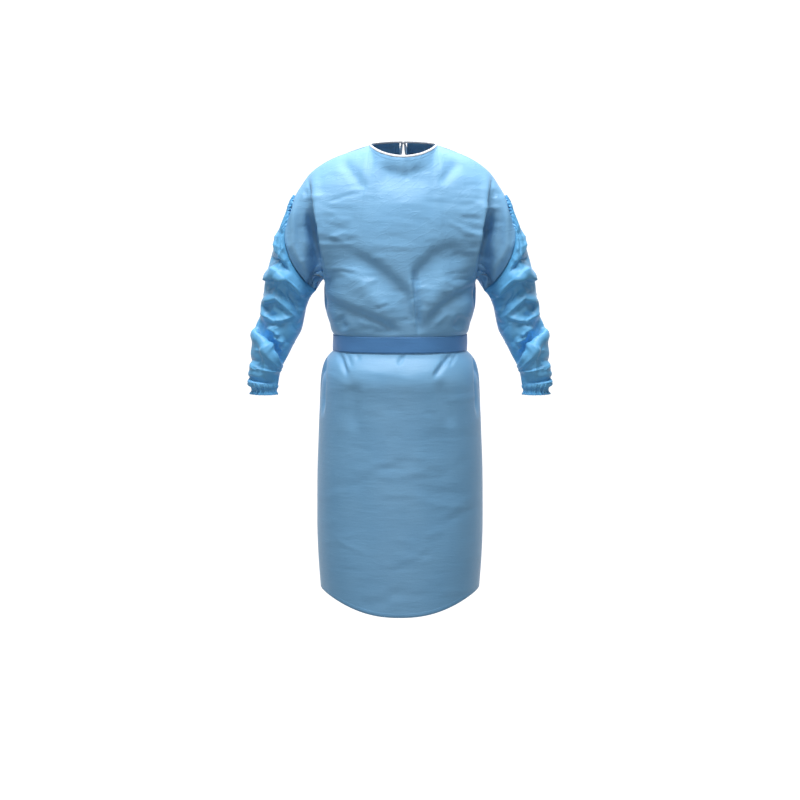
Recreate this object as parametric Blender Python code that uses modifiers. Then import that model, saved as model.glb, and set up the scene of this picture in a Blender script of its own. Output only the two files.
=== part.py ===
"""A procedure gown in the shape it has when it is worn, hollow and open at the neck, the hem and the wrists.

It is sewn from a front, two back panels that lap behind, two set-in sleeves with elastic cuffs, a neck
binding whose ends are tied, and a belt that goes once round the waist and is knotted at the back.
Lengths are in metres. The front faces -Y and +Z is up.
"""

import math

import bmesh
import bpy
import numpy as np

FRONT, BACK = -1, 1
LEFT, RIGHT = -1, 1
SIDE_WORD = {LEFT: "left", RIGHT: "right"}

# Driving dimensions. The origin is level with the two points where the shoulder seams meet the neck,
# and heights are measured from there, so they are negative.
CLOTH = 0.0015
SEAM = 0.0003
SEAM_ANGLE_GAP = 2.4
HEM = -1.049
HEM_DIP = 0.049
BELT_TOP = -0.4453
BELT_BOTTOM = -0.4823
UNDERARM = -0.310
SQUARENESS = 2.3

# Neckline: an oval, low in front, that sits a little to one side as the gown hangs.
NECK_HALF_WIDTH = 0.080
NECK_FRONT = 0.085
NECK_BACK = 0.066
NECK_DROP = 0.030
NECK_RISE = 0.008
NECK_SHIFT = 0.008
BINDING_HEIGHT = 0.0052
BINDING_THICKNESS = 0.0026

# Armhole: a loop from under the arm, over its front, to the gathered top of the sleeve. Its lowest point
# hangs outside and below the underarm, and a web of body cloth bridges the two.
ARMHOLE_BOTTOM_X = 0.200
ARMHOLE_BOTTOM_Z = -0.342
ARMHOLE_TOP_X = 0.250
ARMHOLE_TOP_Z = -0.122
ARMHOLE_HALF_DEPTH = 0.064
ARMHOLE_BULGE = 0.041

# Two rows round the underarm, where the web turns away from the side of the body. Each is a height beside
# the chest flap, how much higher it is under the arm, and how far out it is there.
UNDERARM_BRIDGE = (
    (-0.3250, 0.0070, 0.0),
    (-0.3175, 0.0090, 0.0075),
)

# The chest and the back hang as a flap over the arm: how far the flap's edge stands out from the body, how
# far from the middle the valley behind it lies, and how far the cloth behind its edge is tucked in.
FLAP_DEPTH = {FRONT: 0.045, BACK: 0.030}
VALLEY_DEPTH = {FRONT: 0.050, BACK: 0.058}
FLAP_TUCK = 0.012

# The back panels lap by this much of a quarter turn each side of the middle, one lying over the other.
LAP = 0.28
LAP_LAYER = 0.005

# The belt, its knot, and its two free ends: each end's share of the full length, how far off the panel it
# hangs and how far it bows aside.
BELT_CLEARANCE = 0.0008
BELT_THICKNESS = 0.0015
KNOT_SIZE = (0.046, 0.020, 0.042)
BELT_END_LENGTH = 0.27
BELT_END_SPREAD = 0.034
BELT_ENDS = {LEFT: (0.96, 0.003, 0.004), RIGHT: (1.0, 0.006, -0.006)}
NECK_KNOT_SIZE = (0.014, 0.009, 0.012)
NECK_TIE_LENGTH = {LEFT: 0.13, RIGHT: 0.12}
NECK_TIE_WIDTH = 0.010
NECK_TIE_SPREAD = 0.022
NECK_TIE_LIFT = 0.003

# How far a softened knot reaches from its middle, as a share of its size.
KNOT_REACH = 0.45

# Cross-sections of the body, from the hem up to the underarm.
# height at the side, half width, depth in front, depth behind
BODY = (
    (-1.049, 0.1910, 0.160, 0.140),
    (-0.985, 0.1955, 0.160, 0.142),
    (-0.900, 0.1985, 0.159, 0.145),
    (-0.790, 0.1980, 0.157, 0.148),
    (-0.700, 0.1950, 0.155, 0.150),
    (-0.600, 0.1910, 0.154, 0.150),
    (-0.550, 0.1885, 0.153, 0.148),
    (-0.528, 0.1850, 0.147, 0.142),
    (-0.508, 0.1785, 0.137, 0.131),
    (-0.494, 0.1690, 0.128, 0.117),
    (-0.4823, 0.1575, 0.1235, 0.1085),
    (-0.4453, 0.1575, 0.1225, 0.1085),
    (-0.436, 0.1625, 0.128, 0.114),
    (-0.417, 0.1670, 0.134, 0.120),
    (-0.395, 0.1745, 0.138, 0.125),
    (-0.372, 0.1790, 0.139, 0.127),
    (-0.340, 0.1800, 0.138, 0.127),
    (-0.310, 0.1795, 0.137, 0.126),
)

# The shoulder seam, out from the neck: distance from the middle, height.
SHOULDER = (
    (0.080, 0.000),
    (0.112, -0.011),
    (0.164, -0.031),
    (0.211, -0.064),
    (0.235, -0.097),
    (0.250, -0.122),
)

# Sections along a sleeve, from the armhole to the cuff.
# share of the length, outer x, outer z, inner x, inner z, half depth, middle y, forward bulge
SLEEVE = (
    (0.0, 0.250, -0.122, 0.200, -0.342, 0.064, 0.000, 0.041),
    (0.1, 0.271, -0.165, 0.210, -0.353, 0.066, 0.001, 0.037),
    (0.2, 0.290, -0.215, 0.217, -0.366, 0.065, 0.003, 0.026),
    (0.3, 0.308, -0.270, 0.223, -0.384, 0.062, 0.004, 0.014),
    (0.4, 0.321, -0.325, 0.227, -0.404, 0.058, 0.003, 0.006),
    (0.5, 0.330, -0.380, 0.234, -0.434, 0.055, 0.000, 0.001),
    (0.6, 0.341, -0.430, 0.250, -0.464, 0.050, -0.008, 0.000),
    (0.7, 0.347, -0.476, 0.266, -0.496, 0.045, -0.018, 0.000),
    (0.8, 0.352, -0.516, 0.281, -0.526, 0.040, -0.028, 0.000),
    (0.9, 0.357, -0.542, 0.286, -0.546, 0.037, -0.035, 0.000),
    (1.0, 0.360, -0.556, 0.289, -0.561, 0.036, -0.040, 0.000),
)

# Rings of a cuff, from the sleeve down: outer x, outer z, inner x, inner z, half depth, gather height.
CUFF = (
    (0.360, -0.556, 0.289, -0.561, 0.036, 0.0000),
    (0.358, -0.563, 0.290, -0.567, 0.035, 0.0012),
    (0.351, -0.572, 0.292, -0.575, 0.031, 0.0022),
    (0.350, -0.577, 0.293, -0.579, 0.031, 0.0022),
    (0.354, -0.584, 0.291, -0.585, 0.033, 0.0020),
)
CUFF_MIDDLE_Y = -0.040
CUFF_GATHERS = 14

# Folds, drawn as strokes in a view from the front or from behind:
# from x, from z, to x, to z, width, depth. A negative depth is a ridge.
FRONT_FOLDS = (
    (-0.130, -0.255, -0.020, -0.335, 0.020, 0.012),
    (-0.030, -0.330, 0.034, -0.425, 0.016, 0.009),
    (0.138, -0.250, 0.035, -0.318, 0.020, 0.012),
    (0.045, -0.310, 0.050, -0.410, 0.012, 0.007),
    (-0.176, -0.362, -0.110, -0.392, 0.013, 0.012),
    (-0.115, -0.390, -0.020, -0.430, 0.013, 0.010),
    (0.176, -0.335, 0.120, -0.362, 0.013, 0.012),
    (0.125, -0.360, 0.058, -0.420, 0.013, 0.010),
    (-0.100, -0.300, -0.030, -0.385, 0.020, -0.006),
    (0.105, -0.300, 0.066, -0.370, 0.018, -0.005),
    (0.020, -0.300, 0.034, -0.436, 0.010, -0.005),
    (-0.145, -0.402, -0.128, -0.428, 0.010, 0.006),
    (0.145, -0.400, 0.130, -0.426, 0.010, 0.006),
    (-0.131, -0.480, -0.120, -0.534, 0.007, 0.009),
    (-0.109, -0.480, -0.100, -0.538, 0.007, 0.009),
    (0.008, -0.483, -0.005, -0.512, 0.007, 0.006),
    (0.124, -0.480, 0.086, -0.528, 0.008, 0.010),
    (-0.169, -0.478, -0.183, -0.605, 0.007, 0.018),
    (0.167, -0.478, 0.182, -0.605, 0.007, 0.018),
    (-0.104, -0.550, -0.110, -0.660, 0.014, 0.004),
    (0.092, -0.550, 0.122, -0.650, 0.014, 0.004),
    (-0.095, -0.640, -0.105, -0.950, 0.035, 0.003),
    (0.090, -0.660, 0.105, -0.930, 0.035, 0.003),
    (-0.134, -0.040, -0.082, -0.105, 0.013, 0.005),
    (0.133, -0.043, 0.094, -0.090, 0.013, 0.005),
)
BACK_FOLDS = (
    (-0.140, -0.240, -0.030, -0.345, 0.026, 0.005),
    (0.140, -0.250, 0.035, -0.340, 0.026, 0.005),
    (-0.160, -0.385, -0.060, -0.428, 0.014, 0.006),
    (0.155, -0.382, 0.060, -0.425, 0.014, 0.006),
    (-0.122, -0.480, -0.130, -0.590, 0.012, 0.010),
    (-0.082, -0.480, -0.090, -0.640, 0.014, 0.009),
    (0.082, -0.480, 0.092, -0.620, 0.014, 0.009),
    (0.122, -0.480, 0.132, -0.580, 0.012, 0.010),
    (-0.169, -0.478, -0.183, -0.605, 0.008, 0.012),
    (0.167, -0.478, 0.182, -0.605, 0.008, 0.012),
    (-0.090, -0.640, -0.095, -1.000, 0.030, 0.005),
    (0.095, -0.620, 0.110, -0.980, 0.030, 0.005),
)
# Rolls of spare cloth round a sleeve. Each stands out on one side of a line and dips on the other: above it
# where its height is positive, and below it where it is negative.
# share of the length, angle of its middle, half spread, rise for each radian, width, height
# Angles are in degrees, 0 on the underarm side, 90 in front and 180 outside.
SLEEVE_ROLLS = (
    (0.200, 150, 60, -0.020, 0.050, 0.0030),
    (0.300, 95, 105, 0.080, 0.060, 0.0065),
    (0.435, 135, 65, 0.050, 0.045, -0.0045),
    (0.505, 130, 65, -0.040, 0.045, -0.0045),
    (0.650, 105, 125, -0.065, 0.060, -0.0085),
    (0.330, 290, 80, -0.060, 0.060, 0.0060),
    (0.450, 255, 80, 0.050, 0.055, 0.0055),
    (0.600, 275, 90, 0.060, 0.060, -0.0070),
    (0.780, 200, 90, 0.040, 0.055, 0.0035),
    (0.900, 170, 110, 0.000, 0.060, 0.0030),
)
TOP_GATHER = 0.0030

# Places where the cloth is divided. A turn is a share of a quarter turn from the middle to the side seam.
NECK_TURN = 0.42
FOLD_TURN = 0.77
FRONT_TURNS = (
    0.0, 0.033, 0.072, 0.117, 0.165, 0.216, 0.268, 0.320, 0.370, 0.42, 0.475, 0.54, 0.62, 0.70,
    0.77, 0.80, 0.835, 0.87, 0.905, 0.945, 1.0,
)  # fmt: skip
BACK_TURNS = (1.0, 0.945, 0.905, 0.87, 0.835, 0.79, 0.70, 0.56, 0.42, 0.27, 0.12)
LAP_COLUMNS = 3
ROW_HEIGHTS = (
    -1.049, -0.990, -0.920, -0.840, -0.760, -0.685, -0.625, -0.580, -0.550, -0.528, -0.508, -0.494,
    -0.4823, -0.4453, -0.436, -0.420, -0.400, -0.376, -0.354, -0.336,
)  # fmt: skip
ARMHOLE_ANGLES = (0, 15, 30, 46, 62, 78, 94, 110, 124, 136, 147, 156, 164, 172, 180)
SLEEVE_ROWS = 22
STRIP_REACH = 0.006


def ease(share):
    """0 to 1 with a soft start and end."""
    share = np.clip(share, 0, 1)
    return share * share * (3 - 2 * share)


def column(table, number):
    return np.array([row[number] for row in table])


def smooth_curve(places, values):
    """A smooth function through the values that never swings past them."""
    steps = np.diff(places)
    slopes = np.diff(values) / steps
    before, after = slopes[:-1], slopes[1:]
    tangents = np.zeros(len(values))
    same_way = before * after > 0
    tangents[1:-1][same_way] = 2 * (before * after)[same_way] / (before + after)[same_way]
    tangents[0], tangents[-1] = slopes[0], slopes[-1]

    def at(place):
        k = np.clip(np.searchsorted(places, place) - 1, 0, len(steps) - 1)
        t = (place - places[k]) / steps[k]
        ends = values[k] * (1 + 2 * t) * (1 - t) ** 2 + values[k + 1] * t * t * (3 - 2 * t)
        return ends + steps[k] * (tangents[k] * t * (1 - t) ** 2 - tangents[k + 1] * t * t * (1 - t))

    return at


body_half_width, body_front, body_back = (smooth_curve(column(BODY, 0), column(BODY, n)) for n in (1, 2, 3))
shoulder_height = smooth_curve(column(SHOULDER, 0), column(SHOULDER, 1))
sleeve_size = [smooth_curve(column(SLEEVE, 0), column(SLEEVE, n)) for n in range(1, 8)]


def stroke_depth(x, z, folds):
    """How far in the folds press the cloth at each point of a front or back view."""
    depth = np.zeros(np.shape(x))
    for x0, z0, x1, z1, width, deep in folds:
        along = np.array((x1 - x0, z1 - z0))
        length = np.hypot(*along)
        share = ((x - x0) * along[0] + (z - z0) * along[1]) / length**2
        aside = ((x - x0) * along[1] - (z - z0) * along[0]) / length
        taper = ease((share + 0.15) / 0.3) * ease((1.2 - share) / 0.5)
        depth += deep * taper * np.exp(-((aside / width) ** 2))
    return depth


def off_the_belt(z):
    """0 under the belt, which presses the cloth smooth, and 1 away from it."""
    return ease((z - BELT_TOP) / 0.012) + ease((BELT_BOTTOM - z) / 0.012)


def press_folds(points, turns, face):
    """The folds fade out at the side seam and the armhole, so that the pieces still meet there."""
    x, y, z = points
    folds = FRONT_FOLDS if face == FRONT else BACK_FOLDS
    fade = off_the_belt(z) * ease(np.abs(y) / 0.05) * ease((1 - np.abs(turns)) / 0.15)
    return x, y - face * stroke_depth(x, z, folds) * fade, z


def body_row(height, turns, face):
    """One level of the body below the underarm, for the front or the back half."""
    angle = np.abs(turns) * math.pi / 2
    power = 2 / SQUARENESS
    depth = body_front(height) if face == FRONT else body_back(height)
    x = np.sign(turns) * body_half_width(height) * np.sin(angle) ** power
    y = face * depth * np.cos(angle) ** power
    down = (BELT_BOTTOM - height) / (BELT_BOTTOM - HEM)
    dip = HEM_DIP * np.clip(down, 0, 1) ** 3 if face == FRONT else 0
    return x, y, height - dip * np.cos(angle) ** 2.6


def top_edge(turns, face):
    """The shoulder seams and the neckline between them: x, depth and z of each column's upper end."""
    share = np.clip(np.abs(turns) / NECK_TURN, 0, 1) * math.pi / 2
    out = np.interp(np.abs(turns), (NECK_TURN, FOLD_TURN, 1), (NECK_HALF_WIDTH, 0.214, ARMHOLE_TOP_X))
    on_neck = np.abs(turns) < NECK_TURN
    neck_depth, neck_z = (NECK_FRONT, -NECK_DROP) if face == FRONT else (NECK_BACK, NECK_RISE)
    x = np.where(on_neck, NECK_HALF_WIDTH * np.sin(share), out) * np.sign(turns)
    z = np.where(on_neck, neck_z * np.cos(share) ** 1.5, shoulder_height(np.maximum(out, NECK_HALF_WIDTH)))
    shift = NECK_SHIFT * ease((ARMHOLE_TOP_X - np.abs(x)) / (ARMHOLE_TOP_X - NECK_HALF_WIDTH))
    return x + shift, np.where(on_neck, neck_depth * np.cos(share), 0), z


def armhole_point(angle):
    """The armhole seam on the +X side, by angle from its lowest point over the front."""
    across, rise = np.sin(angle), (1 - np.cos(angle)) / 2
    x = ARMHOLE_BOTTOM_X + (ARMHOLE_TOP_X - ARMHOLE_BOTTOM_X) * rise + ARMHOLE_BULGE * across**2
    return x, -ARMHOLE_HALF_DEPTH * across, ARMHOLE_BOTTOM_Z + (ARMHOLE_TOP_Z - ARMHOLE_BOTTOM_Z) * rise


def past_flap(turns):
    """0 up to the edge of the chest flap and 1 at the armhole seam."""
    return np.clip((np.abs(turns) - FOLD_TURN) / (1 - FOLD_TURN), 0, 1)


def web_reach(turns):
    """How much of the way out, and then down, to the armhole seam the cloth goes: all of it at the seam."""
    share = past_flap(turns)
    return ease((share - 0.10) / 0.75), ease((share - 0.28) / 0.60)


def yoke_row(angle, turns, face):
    """One level of the body above the underarm. It runs from the armhole seam, over the arm and the flap
    beside it, to the middle, and the last one is the shoulder seam and the neckline."""
    size = np.abs(turns)
    x_low, y_low, _ = body_row(UNDERARM, turns, face)
    x_top, depth_top, z_top = top_edge(turns, face)
    x_arm, y_arm, z_arm = armhole_point(angle)
    rise = (1 - math.cos(angle)) / 2
    across = math.sin(angle)

    roundness = 1 + ease((size - 0.25) / 0.25)
    depth = depth_top + (np.abs(y_low) - depth_top) * np.maximum(1 - rise**2.5, 0) ** (1 / roundness)
    depth = depth + FLAP_DEPTH[face] * across**2 * np.minimum(size / FOLD_TURN, 1) ** 3

    past_fold = past_flap(turns)
    depth = depth + (VALLEY_DEPTH[face] - depth) * across**1.5 * ease(past_fold / 0.3)
    depth = depth + (abs(y_arm) - depth) * ease((past_fold - 0.3) / 0.7) * ease(angle / 0.25)

    share = rise**0.8
    x = x_low + (x_top - x_low) * share
    end_x = body_half_width(UNDERARM) + (ARMHOLE_TOP_X - body_half_width(UNDERARM)) * share
    tuck = FLAP_TUCK * across**2 * ease(past_fold / 0.15) * ease((0.7 - past_fold) / 0.5)
    outward, downward = web_reach(turns)
    x = x + np.sign(turns) * ((x_arm - end_x) * outward - tuck)
    z = UNDERARM + (z_top - UNDERARM) * rise
    end_z = UNDERARM + (ARMHOLE_TOP_Z - UNDERARM) * rise
    return x, face * depth, z + (z_arm - end_z) * downward


def lap_turn(height):
    """How far past the middle a back panel's free edge lies, below 0 when it has crossed it."""
    return 0.03 - (LAP + 0.03) * ease(-height / 0.50)


def body_rows(turns_at, face):
    """All levels of a panel, from the hem to the neck. turns_at gives a level's columns by its height."""
    rows = []
    for height in ROW_HEIGHTS:
        turns = turns_at(height)
        rows.append(press_folds(body_row(height, turns, face), turns, face))
    turns = turns_at(UNDERARM)
    outward, downward = web_reach(turns)
    for height, rise, out in UNDERARM_BRIDGE:
        x, y, z = body_row(height + rise * downward, turns, face)
        rows.append(press_folds((x + np.sign(turns) * out * outward, y, z), turns, face))
    for angle in np.radians(ARMHOLE_ANGLES):
        turns = turns_at(UNDERARM * (1 + math.cos(angle)) / 2)
        rows.append(press_folds(yoke_row(angle, turns, face), turns, face))
    return rows


def to_grid(rows):
    return np.array([np.stack(np.broadcast_arrays(*row), axis=-1) for row in rows])


def unit(ways):
    return ways / np.linalg.norm(ways, axis=-1, keepdims=True)


def square_to(edge, way):
    """The way off an edge, with what runs along the edge taken out of it."""
    along = unit(np.gradient(edge, axis=0))
    return unit(way - along * np.sum(way * along, axis=-1, keepdims=True))


def trimmed(grid, first_column=0, last_column=0, first_row=0, last_row=0):
    """The grid with its edges moved in by these distances, each square to its edge."""
    grid = grid.copy()
    for edge, inner, amount in (
        (grid[:, 0], grid[:, 1], first_column),
        (grid[:, -1], grid[:, -2], last_column),
        (grid[0], grid[1], first_row),
        (grid[-1], grid[-2], last_row),
    ):
        edge += square_to(edge, inner - edge) * np.broadcast_to(amount, len(edge))[:, None]
    return grid


def edge_normals(edge, inner):
    """The way each point of an edge faces, from the cells between it and the next line of points."""
    cells = unit(np.cross(inner[1:] - edge[:-1], inner[:-1] - edge[1:]))
    return unit(np.concatenate([cells[:1], cells]) + np.concatenate([cells, cells[-1:]]))


def seam_gap(before, seam, after):
    """How far two cloth walls stop short of the seam where they meet: more where they meet at an angle."""
    turn = np.abs(np.sum(edge_normals(seam, before) * edge_normals(seam, after), axis=-1))
    return SEAM / 2 + SEAM_ANGLE_GAP * CLOTH * np.sqrt((1 - turn) / (1 + turn))


def front_points():
    half = np.array(FRONT_TURNS)
    turns = np.concatenate([-half[:0:-1], half])
    return to_grid(body_rows(lambda height: turns, FRONT))


def lap_lift(x, z):
    """How far the outer back panel is lifted where it lies over the inner one."""
    return LAP_LAYER * ease((0.18 - x) / 0.07) * ease((0.01 - z) / 0.05)


def back_points(side):
    """The back panel on one side. The +X one lies over the other where they lap."""

    def turns_at(height):
        first, last = BACK_TURNS[-1], lap_turn(height)
        lap = first + (last - first) * np.arange(1, LAP_COLUMNS + 1) / LAP_COLUMNS
        return side * np.concatenate([BACK_TURNS, lap])

    grid = to_grid(body_rows(turns_at, BACK))
    if side == RIGHT:
        grid[..., 1] += lap_lift(grid[..., 0], grid[..., 2]) * ease(grid[..., 1] / 0.05)
    return grid


def ring(sizes, angles, middle_y):
    """A tilted oval between an outer and an inner point."""
    outer_x, outer_z, inner_x, inner_z, half_depth = sizes
    rise = (1 - np.cos(angles)) / 2
    x = inner_x + (outer_x - inner_x) * rise
    z = inner_z + (outer_z - inner_z) * rise
    return np.stack([x, middle_y - half_depth * np.sin(angles), z], axis=-1)


def roll_height(share, angles):
    """How far the rolls of spare cloth stand out at this share of the sleeve's length."""
    height = np.zeros(len(angles))
    for place, middle, spread, rise, width, tall in SLEEVE_ROLLS:
        turned = (np.degrees(angles) - middle + 180) % 360 - 180
        window = np.cos(np.clip(turned / spread, -1, 1) * math.pi / 2) ** 2
        aside = (share - place - rise * np.radians(turned)) / width
        stands, dips = np.exp(-((aside + 0.45) ** 2) * 4), np.exp(-((aside - 0.45) ** 2) * 4)
        height += tall * window * (stands - 0.8 * dips)
    return height


def sleeve_angles():
    """Round the sleeve from the underarm seam, with the same points as the panels have on the armhole."""
    front = np.radians(ARMHOLE_ANGLES)
    return np.concatenate([front, 2 * math.pi - front[-2:0:-1]])


def outward(points):
    return unit(points - points.mean(axis=0))


def sleeve_points():
    """The +X sleeve, from the armhole to the cuff."""
    angles = sleeve_angles()
    crowd = np.clip(np.abs(np.degrees(angles) - 180), 0, 90) / 90
    gathered = TOP_GATHER * np.where(np.arange(len(angles)) % 2, 1, -1) * (1 - ease(crowd))
    rows = []
    for share in np.linspace(0, 1, SLEEVE_ROWS + 1):
        *sizes, middle_y, bulge = [size(share) for size in sleeve_size]
        points = ring(sizes, angles, middle_y)
        points[:, 0] += bulge * np.sin(angles) ** 2
        rolls = roll_height(share, angles) * ease(share / 0.06) * ease((1 - share) / 0.06)
        gathers = gathered * ease(share / 0.07) * ease((0.2 - share) / 0.1)
        rows.append(points + outward(points) * (rolls + gathers)[:, None])
    return np.array(rows)


def cuff_points():
    """The +X cuff: a casing drawn in by its elastic, with a short ruffle at the opening."""
    angles = sleeve_angles()
    waves = np.cos(np.arange(len(angles)) * 2 * math.pi * CUFF_GATHERS / len(angles))
    rows = []
    for *sizes, gather in CUFF:
        points = ring(sizes, angles, CUFF_MIDDLE_Y)
        rows.append(points + outward(points) * (gather * waves)[:, None])
    return np.array(rows)


def shoulder_gap(panel, other):
    """seam_gap along the top of a panel, where another panel's top row meets it at the shoulder."""
    order = np.argsort(other[-2, :, 0])
    x, y, z = other[-2, order].T
    top = panel[-1]
    facing = np.stack([top[:, 0], np.interp(top[:, 0], x, y), np.interp(top[:, 0], x, z)], axis=-1)
    beside_neck = np.abs(top[:, 1]) < 0.004
    return np.where(beside_neck, seam_gap(panel[-2], top, facing), SEAM / 2)


def cut_pieces():
    """The outer surfaces of the front, the backs, the +X sleeve and the +X cuff, each kept off its seams."""
    front, backs = front_points(), {side: back_points(side) for side in (LEFT, RIGHT)}
    sleeve, cuff = sleeve_points(), cuff_points()
    below, across = len(ROW_HEIGHTS) + len(UNDERARM_BRIDGE), len(ARMHOLE_ANGLES)
    side_seam = seam_gap(front[:below, -2], front[:below, -1], backs[RIGHT][:below, 1])
    gap_front = seam_gap(front[below:, -2], front[below:, -1], sleeve[1, :across])
    arm_back = np.concatenate([sleeve[1, :1], sleeve[1, : across - 2 : -1]])
    upper_backs = [backs[side][below:] * (side, 1, 1) for side in (LEFT, RIGHT)]
    gap_back = np.maximum(*(seam_gap(panel[:, 1], panel[:, 0], arm_back) for panel in upper_backs))
    gap_cuff = seam_gap(sleeve[-2], sleeve[-1], cuff[1])
    front_edge = np.concatenate([side_seam, gap_front])
    back_edge = np.concatenate([side_seam, gap_back])
    shoulder = {side: shoulder_gap(backs[side], front) for side in (LEFT, RIGHT)}
    front_top = np.maximum(shoulder_gap(front, backs[LEFT]), shoulder_gap(front, backs[RIGHT]))
    front = trimmed(front, front_edge, front_edge, last_row=front_top)
    backs = {side: trimmed(backs[side], back_edge, last_row=shoulder[side]) for side in (LEFT, RIGHT)}
    sleeve = trimmed(sleeve, first_row=np.concatenate([gap_front, gap_back[-2:0:-1]]), last_row=gap_cuff)
    return front, backs, sleeve, trimmed(cuff, first_row=gap_cuff)


def material(name, colour, roughness):
    made = bpy.data.materials.new(name)
    made.use_nodes = True
    shader = made.node_tree.nodes["Principled BSDF"]
    shader.inputs["Base Color"].default_value = (*colour, 1)
    shader.inputs["Roughness"].default_value = roughness
    shader.inputs["Metallic"].default_value = 0
    return made


def sheet_mesh(name, grid, closed=False, flipped=False):
    """An open surface through a grid of points. Its faces point right of the rows, up the columns."""
    rows, columns = grid.shape[:2]
    shape = bmesh.new()
    points = [[shape.verts.new(point) for point in row] for row in grid]
    for i in range(rows - 1):
        for j in range(columns if closed else columns - 1):
            k = (j + 1) % columns
            corners = (points[i][j], points[i][k], points[i + 1][k], points[i + 1][j])
            shape.faces.new(corners[::-1] if flipped else corners)
    mesh = bpy.data.meshes.new(name)
    shape.to_mesh(mesh)
    shape.free()
    mesh.shade_smooth()
    return mesh


def add_cloth(name, grid, fabric, gown, thickness=CLOTH, offset=-1, **sheet):
    """A wall of cloth: the grid is its outer surface, and Solidify gives it its thickness."""
    mesh = sheet_mesh(name, grid, **sheet)
    piece = bpy.data.objects.new(name, mesh)
    gown.objects.link(piece)
    mesh.materials.append(fabric)
    wall = piece.modifiers.new("cloth", "SOLIDIFY")
    wall.thickness = thickness
    wall.offset = offset
    return piece


def neck_lean(points):
    """The way the binding stands up from the neckline: nearly upright in front, inward on the shoulders."""
    way = np.stack([-points[..., 0] * 8, -points[..., 1] * 4.5, np.ones(points.shape[:-1])], axis=-1)
    return way / np.linalg.norm(way, axis=-1, keepdims=True)


def add_binding(gown, fabric):
    """The bias strip on the neck edge, from one side of the neck knot round to the other."""
    front_turns = np.array([t for t in FRONT_TURNS if t <= NECK_TURN])
    back_turns = np.array([t for t in BACK_TURNS if t < NECK_TURN] + [0.06, 0.01])
    front_turns = np.concatenate([-front_turns[:0:-1], front_turns])
    stretches = ((-back_turns[::-1], BACK), (front_turns, FRONT), (back_turns, BACK))
    edges = [np.stack(top_edge(turns, face), axis=-1) * (1, face, 1) for turns, face in stretches]
    edge = np.concatenate(edges)
    lean = neck_lean(edge)
    grid = np.array([edge + lean * SEAM / 2, edge + lean * (SEAM / 2 + BINDING_HEIGHT)])
    add_cloth("neck_binding", grid, fabric, gown, BINDING_THICKNESS, offset=-0.4)


def add_knot(name, size, place, fabric, gown):
    """A knot in a strip: a coarse block pinched at the middle and softened."""
    shape = bmesh.new()
    bmesh.ops.create_cube(shape, size=1)
    bmesh.ops.subdivide_edges(shape, edges=shape.edges[:], cuts=1, use_grid_fill=True)
    for point in shape.verts:
        pinch = 0.8 if abs(point.co.x) < 0.1 else 1
        point.co = (point.co.x * size[0], point.co.y * size[1] * pinch, point.co.z * size[2] * pinch)
    mesh = bpy.data.meshes.new(name)
    shape.to_mesh(mesh)
    shape.free()
    mesh.shade_smooth()
    mesh.materials.append(fabric)
    piece = bpy.data.objects.new(name, mesh)
    piece.location = place
    gown.objects.link(piece)
    soft = piece.modifiers.new("soft", "SUBSURF")
    soft.levels = soft.render_levels = 1


def levels_at(grid, x):
    """The height and depth of each of a panel's rows at one x, from the hem up."""
    order = np.argsort(grid[-1, :, 0])
    heights = np.array([np.interp(x, row[order, 0], row[order, 2]) for row in grid])
    depths = np.array([np.interp(x, row[order, 0], row[order, 1]) for row in grid])
    return heights, depths


def depth_on_back(backs, x, z, reach=0):
    """The depth of whichever back panel is outermost at this x, at most reach above or below a height."""
    heights = np.linspace(z - reach, z + reach, 3)
    return max(np.interp(heights, *levels_at(backs[side], x)).max() for side in (LEFT, RIGHT))


def belt_grid():
    """The belt on the pressed cloth, from one side of the knot round the front to the other side."""
    half = np.array(FRONT_TURNS)
    front = np.concatenate([-half[:0:-1], half])
    back = np.array(BACK_TURNS[1:] + (0.006,))
    rows = []
    for height in (BELT_BOTTOM + SEAM, BELT_TOP - SEAM):
        level = []
        for turns, face in ((-back[::-1], BACK), (front, FRONT), (back, BACK)):
            x, y, _ = body_row(height, turns, face)
            y = y + lap_lift(x, height) * ease((x + 0.115) / 0.03) * ease(y / 0.05)
            level.append(np.stack([x, y, np.full(len(x), height)], axis=-1))
        points = np.concatenate(level)
        normal = unit(points / (body_half_width(height) ** 2, body_front(height) ** 2, 1) * (1, 1, 0))
        rows.append(points + normal * (BELT_CLEARANCE + BELT_THICKNESS))
    return np.array(rows)


def hanging_strip(backs, start, end, widths, lift, bow):
    """A flat strip that hangs on the back from start to end, both given as x and height. It has a row for
    each row of the panel below it. lift is how far it stands off the panel at its knot, and lower down."""
    heights, _ = levels_at(backs[RIGHT], start[0])
    between = heights[(heights > end[1] + SEAM) & (heights < start[1] - SEAM)]
    levels = np.concatenate([[end[1]], between, [start[1]]])
    share = (levels - start[1]) / (end[1] - start[1])
    middle = start[0] + (end[0] - start[0]) * share + bow * np.sin(share * math.pi)
    width = widths[0] + (widths[1] - widths[0]) * ease(share / 0.15)
    off = lift[0] + (lift[1] - lift[0]) * ease(share / 0.12)
    rows = []
    for x, z, half, away in zip(middle, levels, width / 2, off):
        across = (x + half, x, x - half)
        rows.append([(place, depth_on_back(backs, place, z, STRIP_REACH) + away, z) for place in across])
    return np.array(rows)


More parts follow.
